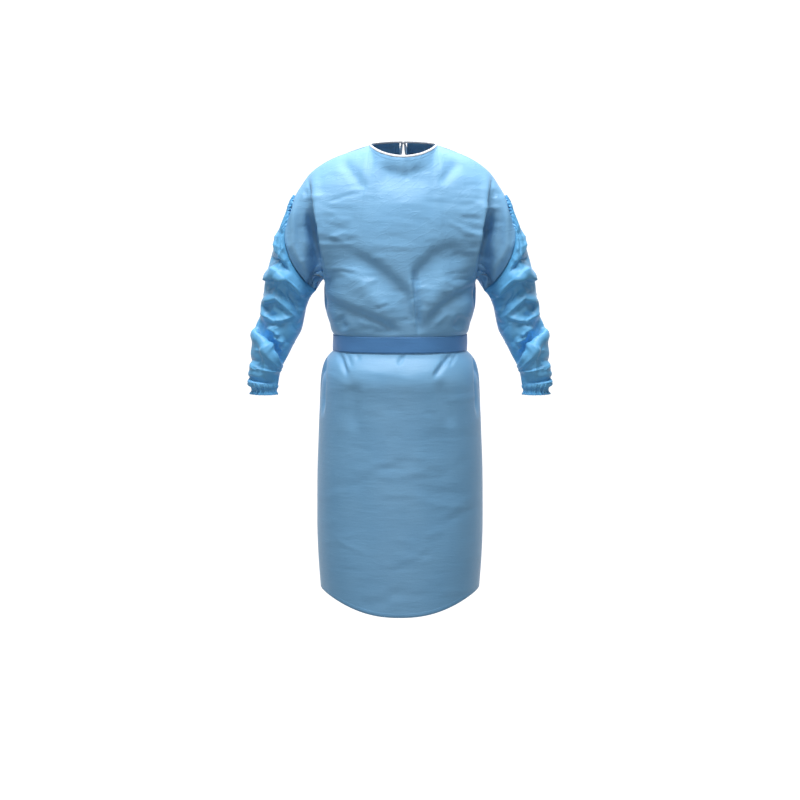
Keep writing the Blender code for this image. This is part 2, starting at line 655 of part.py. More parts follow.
def add_belt(gown, fabric, backs):
    add_cloth("belt", belt_grid(), fabric, gown, BELT_THICKNESS)
    middle = (BELT_TOP + BELT_BOTTOM) / 2
    above = BELT_CLEARANCE + BELT_THICKNESS + SEAM + KNOT_REACH * KNOT_SIZE[1]
    add_knot("belt_knot", KNOT_SIZE, (0, depth_on_back(backs, 0, middle) + above, middle), fabric, gown)
    top = middle - KNOT_REACH * KNOT_SIZE[2] - SEAM
    bunched = 0.35 * KNOT_SIZE[0]
    for side, (drop, lift, bow) in BELT_ENDS.items():
        start = (side * (bunched / 2 + 0.001), top)
        end = (side * BELT_END_SPREAD, top - BELT_END_LENGTH * drop)
        lifts = (above - 0.007 + lift, lift)
        strip = hanging_strip(backs, start, end, (bunched, BELT_TOP - BELT_BOTTOM), lifts, bow)
        add_cloth(f"belt_end_{SIDE_WORD[side]}", strip, fabric, gown, BELT_THICKNESS)


def add_neck_ties(gown, fabric, backs):
    above = 0.3 * BINDING_THICKNESS + KNOT_REACH * NECK_KNOT_SIZE[1]
    place = (NECK_SHIFT, NECK_BACK + above, NECK_RISE + BINDING_HEIGHT / 2)
    add_knot("neck_knot", NECK_KNOT_SIZE, place, fabric, gown)
    top = place[2] - KNOT_REACH * NECK_KNOT_SIZE[2] - SEAM
    for side, length in NECK_TIE_LENGTH.items():
        start = (NECK_SHIFT + side * 0.003, top)
        end = (NECK_SHIFT + side * NECK_TIE_SPREAD, top - length)
        widths = (NECK_TIE_WIDTH / 2, NECK_TIE_WIDTH)
        strip = hanging_strip(backs, start, end, widths, (NECK_TIE_LIFT, NECK_TIE_LIFT), 0.004 * side)
        add_cloth(f"neck_tie_{SIDE_WORD[side]}", strip, fabric, gown)


def build():
    for obj in list(bpy.data.objects):
        bpy.data.objects.remove(obj)
    gown = bpy.data.collections.new("procedure_gown")
    bpy.context.scene.collection.children.link(gown)
    blue = material("light blue nonwoven", (0.23, 0.47, 0.74), 0.55)
    belt_blue = material("darker blue nonwoven", (0.075, 0.20, 0.42), 0.6)
    white = material("white binding", (0.85, 0.86, 0.88), 0.7)

    front, backs, sleeve, cuff = cut_pieces()
    add_cloth("front", front, blue, gown)
    for side, word in SIDE_WORD.items():
        mirror = (side, 1, 1)
        add_cloth(f"back_{word}", backs[side], blue, gown, flipped=side == LEFT)
        add_cloth(f"sleeve_{word}", sleeve * mirror, blue, gown, closed=True, flipped=side == RIGHT)
        add_cloth(f"cuff_{word}", cuff * mirror, blue, gown, closed=True, flipped=side == RIGHT)
    add_binding(gown, white)
    add_neck_ties(gown, white, backs)
    add_belt(gown, belt_blue, backs)


build()
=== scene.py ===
# A procedure gown of light blue nonwoven in the shape it has when it is worn: its finish, folds and sewing.
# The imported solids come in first, and each piece of cloth is then made again, finely, on its solid's form.
# Lengths are in metres, and in millimetres inside tables. The front faces -Y, +Z is up, and the origin is
# level with the neck's two sides.
import math

import bpy
import numpy as np
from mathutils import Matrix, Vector


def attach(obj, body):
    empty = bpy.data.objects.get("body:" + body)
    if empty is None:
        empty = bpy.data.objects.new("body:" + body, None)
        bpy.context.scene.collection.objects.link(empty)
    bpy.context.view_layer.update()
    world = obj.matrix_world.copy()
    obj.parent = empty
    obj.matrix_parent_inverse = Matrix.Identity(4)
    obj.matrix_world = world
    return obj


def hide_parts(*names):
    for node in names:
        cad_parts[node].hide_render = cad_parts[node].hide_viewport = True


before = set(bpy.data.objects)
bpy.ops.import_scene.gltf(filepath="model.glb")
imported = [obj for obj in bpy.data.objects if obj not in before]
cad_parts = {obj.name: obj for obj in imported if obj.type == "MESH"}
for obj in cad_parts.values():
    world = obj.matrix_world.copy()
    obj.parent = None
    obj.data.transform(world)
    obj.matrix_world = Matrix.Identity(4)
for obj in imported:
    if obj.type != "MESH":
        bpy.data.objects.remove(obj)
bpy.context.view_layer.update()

# Front panel: one piece of light blue spunbond nonwoven, cut flat from the roll, from the hem to the
# shoulders. It is sewn to the backs at its sides and shoulders and to the sleeves at the armholes, and the
# belt draws it in, so that it blouses over the waist in long soft folds.
# The sign of y in front and behind, and of x on each side.
FRONT, BACK = -1, 1
LEFT, RIGHT = -1, 1
SIDE_WORD = {LEFT: "left", RIGHT: "right"}
EDGES = ("first_column", "last_column", "first_row", "last_row")
MM = 0.001
CLOTH = 0.6 * MM
# Heights: the hem at the sides and how much lower it is in front, the belt, and the underarm.
HEM = -1.049
HEM_DIP = 0.049
BELT_TOP = -0.4453
BELT_BOTTOM = -0.4823
UNDERARM = -0.310
# The power of the body's sections: 2 is an oval, and more is squarer.
SQUARENESS = 2.3
# The neck's edge: its half width, its depth in front and behind, its height there, and how far it sits to +X.
NECK_HALF_WIDTH = 0.080
NECK_FRONT = 0.085
NECK_BACK = 0.066
NECK_DROP = 0.030
NECK_RISE = 0.008
NECK_SHIFT = 0.008
# The armhole seam on the +X side: an oval between two points, with its front and back swung out.
ARMHOLE_BOTTOM_X = 0.200
ARMHOLE_BOTTOM_Z = -0.342
ARMHOLE_TOP_X = 0.250
ARMHOLE_TOP_Z = -0.122
ARMHOLE_HALF_DEPTH = 0.064
ARMHOLE_BULGE = 0.041
# Beside the chest the cloth stands out in a flap, tucks in behind its edge, and dips in a valley before the
# armhole. Where the neck's edge and the flap end is given in turns: 0 is the panel's middle, and 1 its side.
# The flap's edge meets the shoulder seam at FOLD_TOP_X.
FLAP_DEPTH = {FRONT: 0.045, BACK: 0.030}
VALLEY_DEPTH = {FRONT: 0.050, BACK: 0.058}
FLAP_TUCK = 0.012
NECK_TURN = 0.42
FOLD_TURN = 0.77
FOLD_TOP_X = 0.214

# Cross-sections of the body: height at the side, half width, depth in front, depth behind.
BODY = MM * np.array([
    (-1049, 191, 160, 140),
    (-985, 195.5, 160, 142),
    (-900, 198.5, 159, 145),
    (-790, 198, 157, 148),
    (-700, 195, 155, 150),
    (-600, 191, 154, 150),
    (-550, 188.5, 153, 148),
    (-528, 185, 147, 142),
    (-508, 178.5, 137, 131),
    (-494, 169, 128, 117),
    (-482.3, 157.5, 123.5, 108.5),
    (-445.3, 157.5, 122.5, 108.5),
    (-436, 162.5, 128, 114),
    (-417, 167, 134, 120),
    (-395, 174.5, 138, 125),
    (-372, 179, 139, 127),
    (-340, 180, 138, 127),
    (-310, 179.5, 137, 126),
])
# The shoulder seam, out from the neck: distance from the middle, height.
SHOULDER = MM * np.array([
    (80, 0),
    (112, -11),
    (164, -31),
    (211, -64),
    (235, -97),
    (250, -122),
])
# Levels of a panel below the underarm, two where the cloth turns away from the body there (height beside the
# chest flap, how much higher at the underarm, how far out), and those round the armhole, in degrees.
LEVELS = (
    -1.049, -0.990, -0.920, -0.840, -0.760, -0.685, -0.625, -0.580, -0.550, -0.528, -0.508, -0.494,
    -0.4823, -0.4453, -0.436, -0.420, -0.400, -0.376, -0.354, -0.336,
)
UNDERARM_BRIDGE = ((-0.3250, 0.0070, 0.0), (-0.3175, 0.0090, 0.0075))
ARMHOLE_ANGLES = (0, 15, 30, 46, 62, 78, 94, 110, 124, 136, 147, 156, 164, 172, 180)
# Columns of the front's +X half, in turns, and the size of the cells that are filled in between.
FRONT_TURNS = (
    0.0, 0.033, 0.072, 0.117, 0.165, 0.216, 0.268, 0.320, 0.370, 0.42, 0.475, 0.54, 0.62, 0.70,
    0.77, 0.80, 0.835, 0.87, 0.905, 0.945, 0.985, 1.0,
)
ROW_SPACING = 0.0042
COLUMN_SPACING = 0.0040

# Folds of the front, as strokes in a front view, in millimetres: depth pressed in (a ridge below 0), width
# or the widths of its two sides, and the points of its line as x, z.
FRONT_FOLDS = (
    (11.5, (19, 42), ((36, -425), (10, -350), (-22, -316), (-75, -276), (-128, -250))),
    (11, (18, 38), ((150, -262), (120, -246), (86, -256), (52, -288), (36, -320))),
    (8.5, (3, 12), ((32, -296), (36, -350), (43, -430))),
    (-3, (8, 3), ((24, -300), (29, -350), (37, -434))),
    (10, (12, 24), ((-12, -432), (-62, -407), (-118, -387), (-178, -362))),
    (10, (12, 24), ((178, -332), (132, -352), (95, -381), (58, -420))),
    (-4.5, 20, ((-112, -298), (-30, -385))),
    (-4, 18, ((110, -304), (66, -370))),
    (-3.5, 9, ((-100, -408), (-34, -428))),
    (-3, 7, ((112, -388), (78, -418))),
    (2.5, 5, ((-56, -380), (-40, -371), (-22, -369))),
    (-2, 4, ((-50, -372), (-30, -363))),
    (6, 10, ((-145, -402), (-128, -428))),
    (6, 10, ((145, -400), (130, -426))),
    (7.5, (7, 3), ((-143, -480), (-120, -532))),
    (4.5, 3, ((-126, -480), (-112, -514))),
    (3, 4, ((-100, -480), (-96, -500))),
    (4.5, 5, ((10, -480), (-3, -508))),
    (8, (4, 8), ((122, -480), (98, -508), (78, -534))),
    (4.5, 3, ((136, -480), (116, -512))),
    (3, 3, ((108, -480), (96, -498))),
    (-4.4, (48, 26), ((-135, -528), (-62, -534), (-10, -528), (10, -540), (60, -534), (110, -520))),
    (4, 14, ((-104, -550), (-110, -660))),
    (4, 14, ((92, -550), (122, -650))),
    (3, 35, ((-95, -640), (-105, -950))),
    (3, 35, ((90, -660), (105, -930))),
    (5, 13, ((-134, -40), (-110, -66), (-82, -105))),
    (5, 13, ((133, -43), (94, -90))),
    (12, (45, 18), ((-44, -60), (12, -72), (64, -60))),
    (2, 8, ((18, -36), (14, -80))),
)
# Those beside the +X seams: the cloth sunk in at the underarm behind the chest's edge, the fold on the hip,
# and the armhole seam's valley with the soft ridge inside it. The other side mirrors them.
RIGHT_SEAM_FOLDS = (
    (48, (4, 10), ((206, -175), (200, -215), (194, -258), (188, -300), (182, -390))),
    (24, (8, 11), ((206, -250), (203, -285), (196, -390))),
    (16, (4, 6), ((179, -478), (181, -540), (182.5, -620))),
    (9, (8, 8), ((258, -130), (267, -170), (266, -238), (253, -268), (234, -303), (199, -341))),
    (-4.5, (7, 7), ((250, -150), (251, -235), (238, -262), (220, -288))),
    (4, (3, 3), ((219.5, -105), (220, -122))),
)
FRONT_SEAM_FOLDS = [
    (depth, widths[::side], [(side * x, z) for x, z in line])
    for side in (LEFT, RIGHT) for depth, widths, line in RIGHT_SEAM_FOLDS
]


def ease(share):
    """0 to 1 with a soft start and end."""
    share = np.clip(share, 0, 1)
    return share * share * (3 - 2 * share)


def bell(share):
    """1 at 0, fading to nothing on both sides by about 2."""
    return np.exp(-(share**2))


def hermite(start, end, leaving, arriving, step, t):
    """A smooth way from start to end, a step long, with its two slopes, at a share t of the step."""
    ends = start * (1 + 2 * t) * (1 - t) ** 2 + end * t * t * (3 - 2 * t)
    return ends + step * (leaving * t * (1 - t) ** 2 - arriving * t * t * (1 - t))


def smooth_curve(places, values):
    """A smooth function through the values that never swings past them."""
    steps = np.diff(places)
    slopes = np.diff(values) / steps
    before, after = slopes[:-1], slopes[1:]
    tangents = np.zeros(len(values))
    same_way = before * after > 0
    tangents[1:-1][same_way] = 2 * (before * after)[same_way] / (before + after)[same_way]
    tangents[0], tangents[-1] = slopes[0], slopes[-1]

    def at(place):
        k = np.clip(np.searchsorted(places, place) - 1, 0, len(steps) - 1)
        share = (place - places[k]) / steps[k]
        return hermite(values[k], values[k + 1], tangents[k], tangents[k + 1], steps[k], share)

    return at


body_half_width, body_front, body_back = (smooth_curve(BODY[:, 0], BODY[:, n]) for n in (1, 2, 3))
shoulder_height = smooth_curve(SHOULDER[:, 0], SHOULDER[:, 1])


def body_level(height, turns, face):
    """One level below the underarm, by turns: shares of a quarter turn from the middle to the side."""
    angle = np.abs(turns) * math.pi / 2
    power = 2 / SQUARENESS
    depth = body_front(height) if face == FRONT else body_back(height)
    x = np.sign(turns) * body_half_width(height) * np.sin(angle) ** power
    y = face * depth * np.cos(angle) ** power
    down = (BELT_BOTTOM - height) / (BELT_BOTTOM - HEM)
    dip = HEM_DIP * np.clip(down, 0, 1) ** 3 if face == FRONT else 0
    return x, y, height - dip * np.cos(angle) ** 2.6


def top_edge(turns, face):
    """The shoulder seams and the neckline between them."""
    share = np.clip(np.abs(turns) / NECK_TURN, 0, 1) * math.pi / 2
    out = np.interp(np.abs(turns), (NECK_TURN, FOLD_TURN, 1), (NECK_HALF_WIDTH, FOLD_TOP_X, ARMHOLE_TOP_X))
    on_neck = np.abs(turns) < NECK_TURN
    neck_depth, neck_z = (NECK_FRONT, -NECK_DROP) if face == FRONT else (NECK_BACK, NECK_RISE)
    x = np.where(on_neck, NECK_HALF_WIDTH * np.sin(share), out) * np.sign(turns)
    z = np.where(on_neck, neck_z * np.cos(share) ** 1.5, shoulder_height(np.maximum(out, NECK_HALF_WIDTH)))
    shift = NECK_SHIFT * ease((ARMHOLE_TOP_X - np.abs(x)) / (ARMHOLE_TOP_X - NECK_HALF_WIDTH))
    return x + shift, np.where(on_neck, neck_depth * np.cos(share), 0), z


def armhole_point(angle):
    """The armhole seam on the +X side, by angle from its lowest point over the front."""
    across, rise = np.sin(angle), (1 - np.cos(angle)) / 2
    x = ARMHOLE_BOTTOM_X + (ARMHOLE_TOP_X - ARMHOLE_BOTTOM_X) * rise + ARMHOLE_BULGE * across**2
    return x, -ARMHOLE_HALF_DEPTH * across, ARMHOLE_BOTTOM_Z + (ARMHOLE_TOP_Z - ARMHOLE_BOTTOM_Z) * rise


def past_flap(turns):
    """0 up to the edge of the chest flap and 1 at the armhole seam."""
    return np.clip((np.abs(turns) - FOLD_TURN) / (1 - FOLD_TURN), 0, 1)


def web_reach(turns):
    """How much of the way out, and then down, to the armhole seam the cloth at the underarm goes."""
    share = past_flap(turns)
    return ease((share - 0.10) / 0.75), ease((share - 0.28) / 0.60)


def yoke_level(angle, turns, face):
    """One level above the underarm: from the armhole seam, over the valley and the flap, to the middle."""
    size = np.abs(turns)
    x_low, y_low, _ = body_level(UNDERARM, turns, face)
    x_top, depth_top, z_top = top_edge(turns, face)
    x_seam, y_seam, z_seam = armhole_point(angle)
    rise = (1 - math.cos(angle)) / 2
    across = math.sin(angle)

    # The depth: rounded towards the shoulder, deeper in the flap, less in the valley, the seam's at the end.
    roundness = 1 + ease((size - 0.25) / 0.25)
    depth = depth_top + (np.abs(y_low) - depth_top) * np.maximum(1 - rise**2.5, 0) ** (1 / roundness)
    depth = depth + FLAP_DEPTH[face] * across**2 * np.minimum(size / FOLD_TURN, 1) ** 3
    past_fold = past_flap(turns)
    depth = depth + (VALLEY_DEPTH[face] - depth) * across**1.5 * ease(past_fold / 0.3)
    depth = depth + (abs(y_seam) - depth) * ease((past_fold - 0.3) / 0.7) * ease(angle / 0.25)

    # The way across and up: tucked in behind the flap, then out and down to the seam.
    share = rise**0.8
    x = x_low + (x_top - x_low) * share
    end_x = body_half_width(UNDERARM) + (ARMHOLE_TOP_X - body_half_width(UNDERARM)) * share
    tuck = FLAP_TUCK * across**2 * ease(past_fold / 0.15) * ease((0.7 - past_fold) / 0.5)
    outward, downward = web_reach(turns)
    x = x + np.sign(turns) * ((x_seam - end_x) * outward - tuck)
    z = UNDERARM + (z_top - UNDERARM) * rise
    end_z = UNDERARM + (ARMHOLE_TOP_Z - UNDERARM) * rise
    return x, face * depth, z + (z_seam - end_z) * downward


def fill_in(rows, spacing):
    """More rows between the given ones, on smooth curves through each column's points."""
    step = np.maximum(np.linalg.norm(np.diff(rows, axis=0), axis=-1, keepdims=True), 1e-6)
    slope = np.diff(rows, axis=0) / step
    tangent = np.concatenate([
        slope[:1],
        (slope[:-1] * step[1:] + slope[1:] * step[:-1]) / (step[:-1] + step[1:]),
        slope[-1:],
    ])
    made = []
    for k in range(len(step)):
        count = max(1, round(float(step[k].mean()) / spacing))
        for share in np.arange(count) / count:
            made.append(hermite(rows[k], rows[k + 1], tangent[k], tangent[k + 1], step[k], share))
    return np.array(made + [rows[-1]])


def travelled(points, axis=0):
    """How far each point of a line, or of a grid's lines along one axis, is from the line's start."""
    steps = np.linalg.norm(np.diff(points, axis=axis), axis=-1)
    start = np.zeros_like(np.take(steps, [0], axis=axis))
    return np.concatenate([start, np.cumsum(steps, axis=axis)], axis=axis)


def between(places, count):
    """Each step between the places cut into equal parts."""
    places = np.asarray(places, float)
    return np.interp(np.arange((len(places) - 1) * count + 1) / count, np.arange(len(places)), places)


def panel(turns_at, face):
    """A panel's smooth surface from the hem to the neck, before its folds, and each point's turn."""
    rows, turn_rows = [], []
    for height in LEVELS:
        turn_rows.append(turns_at(height))
        rows.append(body_level(height, turn_rows[-1], face))
    for height, rise, out in UNDERARM_BRIDGE:
        turns = turns_at(UNDERARM)
        outward, downward = web_reach(turns)
        x, y, z = body_level(height + rise * downward, turns, face)
        turn_rows.append(turns)
        rows.append((x + np.sign(turns) * out * outward, y, z))
    for angle in np.radians(ARMHOLE_ANGLES):
        turn_rows.append(turns_at(UNDERARM * (1 + math.cos(angle)) / 2))
        rows.append(yoke_level(angle, turn_rows[-1], face))
    # The turns ride along as a fourth coordinate, too small to count as distance.
    tiny = 1e-4
    rows = [np.stack(np.broadcast_arrays(*row, turns * tiny), axis=-1) for row, turns in zip(rows, turn_rows)]
    made = fill_in(np.array(rows), ROW_SPACING)
    made = fill_in(made.transpose(1, 0, 2), COLUMN_SPACING).transpose(1, 0, 2)
    points, turns = made[..., :3].copy(), made[..., 3] / tiny
    # Below the neck's two corners the cloth is drawn smooth from one shoulder to the other.
    reach = 12
    weights = bell(np.arange(-reach, reach + 1) / 5)
    padded = np.pad(points[..., 1], ((0, 0), (reach, reach)), mode="edge")
    soft = np.array([np.convolve(row, weights / weights.sum(), "valid") for row in padded])
    from_top = travelled(points[::-1])[::-1]
    share = ease(from_top / 0.05) * ease((0.68 - np.abs(turns)) / 0.15)
    points[..., 1] += (soft - points[..., 1]) * share * ease((points[..., 2] - UNDERARM) / 0.04)
    return points, turns


def unit(ways):
    return ways / np.maximum(np.linalg.norm(ways, axis=-1, keepdims=True), 1e-12)


def facing(points, closed=False):
    """The way the cloth faces at each point of a grid: right of the rows, up the columns."""
    if closed:
        across = np.roll(points, -1, axis=1) - np.roll(points, 1, axis=1)
    else:
        across = np.gradient(points, axis=1)
    return unit(np.cross(across, np.gradient(points, axis=0)))


def stroke(x, z, line, width, softness):
    """1 on a line in a front view, fading over its width and towards its ends. Of two widths, the first is
    for the line's right side, as one looks along it: the upper side where the line runs to -X. A softness of
    2 gives a round fold, and 1 a sharp crease between two nearly flat sides."""
    line = np.asarray(line, float)
    right, left = width if isinstance(width, tuple) else (width, width)
    reached = travelled(line)
    lengths = np.diff(reached)
    nearest, place = np.full(np.shape(x), np.inf), np.zeros(np.shape(x))
    spread = np.full(np.shape(x), float(right))
    for k, (start, end) in enumerate(zip(line[:-1], line[1:])):
        way = (end - start) / lengths[k]
        along = (x - start[0]) * way[0] + (z - start[1]) * way[1]
        aside = (z - start[1]) * way[0] - (x - start[0]) * way[1]
        low = -np.inf if k == 0 else 0
        high = np.inf if k == len(lengths) - 1 else lengths[k]
        held = np.clip(along, low, high)
        away = np.hypot(x - start[0] - held * way[0], z - start[1] - held * way[1])
        closer = away < nearest
        nearest, place = np.where(closer, away, nearest), np.where(closer, reached[k] + held, place)
        spread = np.where(closer, np.where(aside > 0, left, right), spread)
    share = place / reached[-1]
    taper = ease((share + 0.15) / 0.3) * ease((1.15 - share) / 0.4)
    return taper * np.exp(-((nearest / spread) ** softness))


def fold_depth(x, z, folds, softness=2.0):
    """How far a table of folds presses the cloth in at these points, in metres."""
    x, z = x / MM, z / MM
    return MM * sum(depth * stroke(x, z, line, width, softness) for depth, width, line in folds)


def crinkles(seed, count, x_range, z_range, tilt, length, width, depth):
    """Short creases at places drawn from a fixed seed, in millimetres: each nearly level and slightly bowed,
    with its own length, width and depth."""
    draw = np.random.default_rng(seed)
    made = []
    for _ in range(count):
        x, z = draw.uniform(*x_range), draw.uniform(*z_range)
        lean, half = draw.normal(0, tilt), draw.uniform(*length) / 2
        bow = draw.uniform(-0.12, 0.12) * half
        line = [
            (x + end * half * math.cos(lean), z + end * half * math.sin(lean) + (1 - end * end) * bow)
            for end in (-1, 0, 1)
        ]
        made.append((draw.choice((-1, 1)) * draw.uniform(*depth), draw.uniform(*width), line))
    return made


FRONT_CRINKLES = (
    crinkles(11, 70, (-200, 200), (-300, -60), 0.1, (30, 110), (4.5, 9), (0.3, 0.9))
    + crinkles(12, 26, (-225, -120), (-310, -110), 0.16, (30, 90), (4, 7), (0.8, 2.2))
    + crinkles(13, 26, (120, 225), (-310, -110), 0.16, (30, 90), (4, 7), (0.8, 2.2))
    + crinkles(14, 50, (-170, 170), (-440, -300), 0.35, (25, 70), (4, 8), (0.4, 1.2))
    + crinkles(15, 60, (-190, 190), (-1080, -520), 0.25, (30, 120), (6, 14), (0.3, 0.9))
)


def press(points, turns, face, folds, seam_folds=()):
    """Presses the folds into a panel. They fade under the belt and, but for those of the seams, towards its
    sides. A seam's fold goes in no further than most of the way to the middle of the gown's depth."""
    x, z = points[..., 0], points[..., 2]
    off_belt = ease((z - BELT_TOP) / 0.012) + ease((BELT_BOTTOM - z) / 0.012)
    forward = np.abs(points[..., 1])
    depth = fold_depth(x, z, folds) * ease((1 - np.abs(turns)) / 0.15) * ease(forward / 0.03)
    depth = (depth + np.minimum(fold_depth(x, z, seam_folds), 0.85 * forward)) * off_belt
    out = facing(points)
    out = out * np.sign(out[..., 1].mean() * face)
    return points - out * depth[..., None]


def edge_distance(points, edges=EDGES):
    """Each point's distance along the cloth from the nearest of the named edges of its grid."""
    across, down = travelled(points, axis=1), travelled(points)
    reach = dict(zip(EDGES, (across, across[:, -1:] - across, down, down[-1:] - down)))
    return np.min([reach[edge] for edge in edges], axis=0)


class Value:
    """A number in a material. Arithmetic on it adds the Math nodes that work it out."""

    def __init__(self, finish, socket):
        self.finish, self.socket = finish, socket

    def math(self, operation, *others):
        return self.finish.node("ShaderNodeMath", {"operation": operation}, dict(enumerate((self, *others))))

    def clamped(self):
        return self.finish.node("ShaderNodeClamp", None, {"Value": self})

    def __add__(self, other):
        return self.math("ADD", other)

    def __sub__(self, other):
        return self.math("SUBTRACT", other)

    def __rsub__(self, other):
        return (self * -1).math("ADD", other)

    def __mul__(self, other):
        return self.math("MULTIPLY", other)

    def __pow__(self, other):
        return self.math("POWER", other)

    __radd__, __rmul__ = __add__, __mul__


class Finish:
    """A material with one Principled shader, and the nodes that feed it."""

    def __init__(self, name, **uniform):
        self.material = bpy.data.materials.new(name)
        self.material.use_nodes = True
        self.tree = self.material.node_tree
        self.shader = self.tree.nodes["Principled BSDF"]
        self.feed(self.shader, uniform)

    def feed(self, made, sockets):
        for key, value in sockets.items():
            socket = made.inputs[key.replace("_", " ") if isinstance(key, str) else key]
            if isinstance(value, Value):
                self.tree.links.new(value.socket, socket)
            else:
                socket.default_value = value

    def node(self, kind, settings=None, sockets=None, output=0):
        """Any node: its settings are set first, then the values or links of its sockets."""
        made = self.tree.nodes.new(kind)
        for name, setting in (settings or {}).items():
            setattr(made, name, setting)
        self.feed(made, sockets or {})
        return Value(self, made.outputs[output])

    def place(self, stretch=(1, 1, 1), turned=0):
        """Where a point is on the gown, stretched and turned about the front view's axis."""
        spot = self.node("ShaderNodeTexCoord", output="Object")
        sockets = {"Vector": spot, "Scale": stretch, "Rotation": (0, turned, 0)}
        return self.node("ShaderNodeMapping", {"vector_type": "TEXTURE"}, sockets)

    def noise(self, scale, detail=2.0, **where):
        sockets = {"Vector": self.place(**where), "Scale": scale, "Detail": detail, "Roughness": 0.55}
        return self.node("ShaderNodeTexNoise", None, sockets)

    def creases(self, scale, sharpness, **where):
        """Thin raised lines where a soft noise passes its middle value."""
        off_middle = (self.noise(scale, 2.0, **where) - 0.5).math("ABSOLUTE") * (2 * sharpness)
        return (1 - off_middle).clamped() ** 1.5

    def blend(self, share, first, second):
        """Between two colours, by a share."""
        first, second = ((*colour, 1) if isinstance(colour, tuple) else colour for colour in (first, second))
        return self.node("ShaderNodeMix", {"data_type": "RGBA"}, {0: share, 6: first, 7: second}, output=2)

    def bump(self, height, distance, below=None):
        sockets = {"Height": height, "Distance": distance, "Strength": 1.0}
        if below is not None:
            sockets["Normal"] = below
        return self.node("ShaderNodeBump", None, sockets)


def nonwoven(name, colour, deep, pale, roughness):
    """Spunbond nonwoven: faintly clouded, with a fine bonded point pattern, soft level ripples and, in
    patches, short sharp creases like those of paper. For 10 mm along its hems and seams it is raised and
    tinted deeper: it lies double there, and the deeper tint is also painted shade along the seams."""
    finish = Finish(name, Sheen_Weight=0.06, Sheen_Roughness=0.4, Specular_IOR_Level=0.45)
    clouds = finish.noise(14.0, 4.0)
    fibres = finish.noise(420.0, 3.0, stretch=(1, 1, 2.2))
    points = finish.node("ShaderNodeTexVoronoi", None, {"Vector": finish.place(), "Scale": 620.0})
    ripples = finish.noise(46.0, 3.0, stretch=(3.2, 3.2, 0.55))
    level_creases = finish.creases(34.0, 9.0, stretch=(2.6, 2.6, 0.42), turned=0.10)
    slant_creases = finish.creases(26.0, 11.0, stretch=(1.8, 1.8, 0.60), turned=-0.55)
    patches = finish.noise(9.0, 1.0)
    creased = (patches * 5.0 - 2.6).clamped()
    sharp = level_creases * creased + slant_creases * (1 - creased) * 0.7
    above_belt = finish.node("ShaderNodeSeparateXYZ", None, {"Vector": finish.place()}, output=2)
    sharp = sharp * (((above_belt + 0.52) * 8.0).clamped() * 0.75 + 0.25)

    tint = finish.blend(((clouds - 0.5) * 0.9 + 0.5).clamped(), deep, pale)
    tint = finish.blend((fibres - 0.5) * 0.5 + 0.25, tint, colour)
    # Painted shade: within 10 mm of a hem or seam the tint goes a share towards the deep colour, partly for
    # the doubled cloth and partly as shade along the seams, such as the sleeves' armhole seam.
    from_edge = finish.node("ShaderNodeAttribute", {"attribute_name": "edge"}, output=2)
    doubled_and_seam_shade = ((0.010 - from_edge) * 700).clamped()
    tint = finish.blend(doubled_and_seam_shade * 0.45, tint, deep)
    finish.feed(finish.shader, {"Base_Color": finish.blend(sharp * 0.06, tint, pale)})
    finish.feed(finish.shader, {"Roughness": (fibres - 0.5) * 0.25 + roughness})
    rough = finish.bump(points * 0.4 + fibres * 0.6, 0.00012)
    soft = finish.bump(ripples, 0.0007, finish.bump(doubled_and_seam_shade, 0.0004, rough))
    finish.feed(finish.shader, {"Normal": finish.bump(sharp, 0.00035, soft)})
    return finish.material


GOWN_CLOTH = nonwoven(
    "gown nonwoven", colour=(0.190, 0.432, 0.692), deep=(0.165, 0.402, 0.672), pale=(0.225, 0.472, 0.722),
    roughness=0.50,
)


def grid_faces(rows, columns, closed=False):
    """The corners of every cell of a grid of points."""
    number = np.arange(rows * columns).reshape(rows, columns)
    if closed:
        number = np.concatenate([number, number[:, :1]], axis=1)
    corners = number[:-1, :-1], number[:-1, 1:], number[1:, 1:], number[1:, :-1]
    return np.stack(corners, axis=-1).reshape(-1, 4)


def smooth_mesh(name, points, faces, material):
    mesh = bpy.data.meshes.new(name)
    mesh.from_pydata(np.reshape(points, (-1, 3)).tolist(), [], faces)
    mesh.shade_smooth()
    mesh.materials.append(material)
    made = bpy.data.objects.new(name, mesh)
    bpy.context.scene.collection.objects.link(made)
    return made


def gown_piece(name, points, faces, material):
    """A mesh that is a piece of the gown, which is one body."""
    piece = smooth_mesh(name, points, faces, material)
    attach(piece, "root")
    return piece


def cloth(name, points, material, closed=False, flipped=False, thickness=CLOTH, edge=None):
    """A thin shell through a grid of points, which are its outer side. Its faces point right of the rows, up
    the columns. edge is each point's distance from a hem or seam."""
    corners = grid_faces(*points.shape[:2], closed)
    if flipped:
        corners = corners[:, ::-1]
    piece = gown_piece(name, points, corners.tolist(), material)
    if edge is not None:
        distance = piece.data.attributes.new("edge", "FLOAT", "POINT")
        distance.data.foreach_set("value", edge.reshape(-1).astype(np.float32))
    wall = piece.modifiers.new("wall", "SOLIDIFY")
    wall.thickness, wall.offset = thickness, -1
    return piece


half = np.array(FRONT_TURNS)
front_turns = np.concatenate([-half[:0:-1], half])
front_points = press(
    *panel(lambda height: front_turns, FRONT), FRONT, [*FRONT_FOLDS, *FRONT_CRINKLES], FRONT_SEAM_FOLDS,
)
front = cloth("front_panel", front_points, GOWN_CLOTH, edge=edge_distance(front_points))
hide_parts("front")

# Back panels: two like pieces of the same nonwoven. They meet at the back of the neck and lap more and more
# towards the waist, the +X one outside, where the belt holds them shut. Their free edges are turned in.
BACK_TURNS = (1.0, 0.985, 0.945, 0.905, 0.87, 0.835, 0.79, 0.70, 0.56, 0.42, 0.27, 0.12)
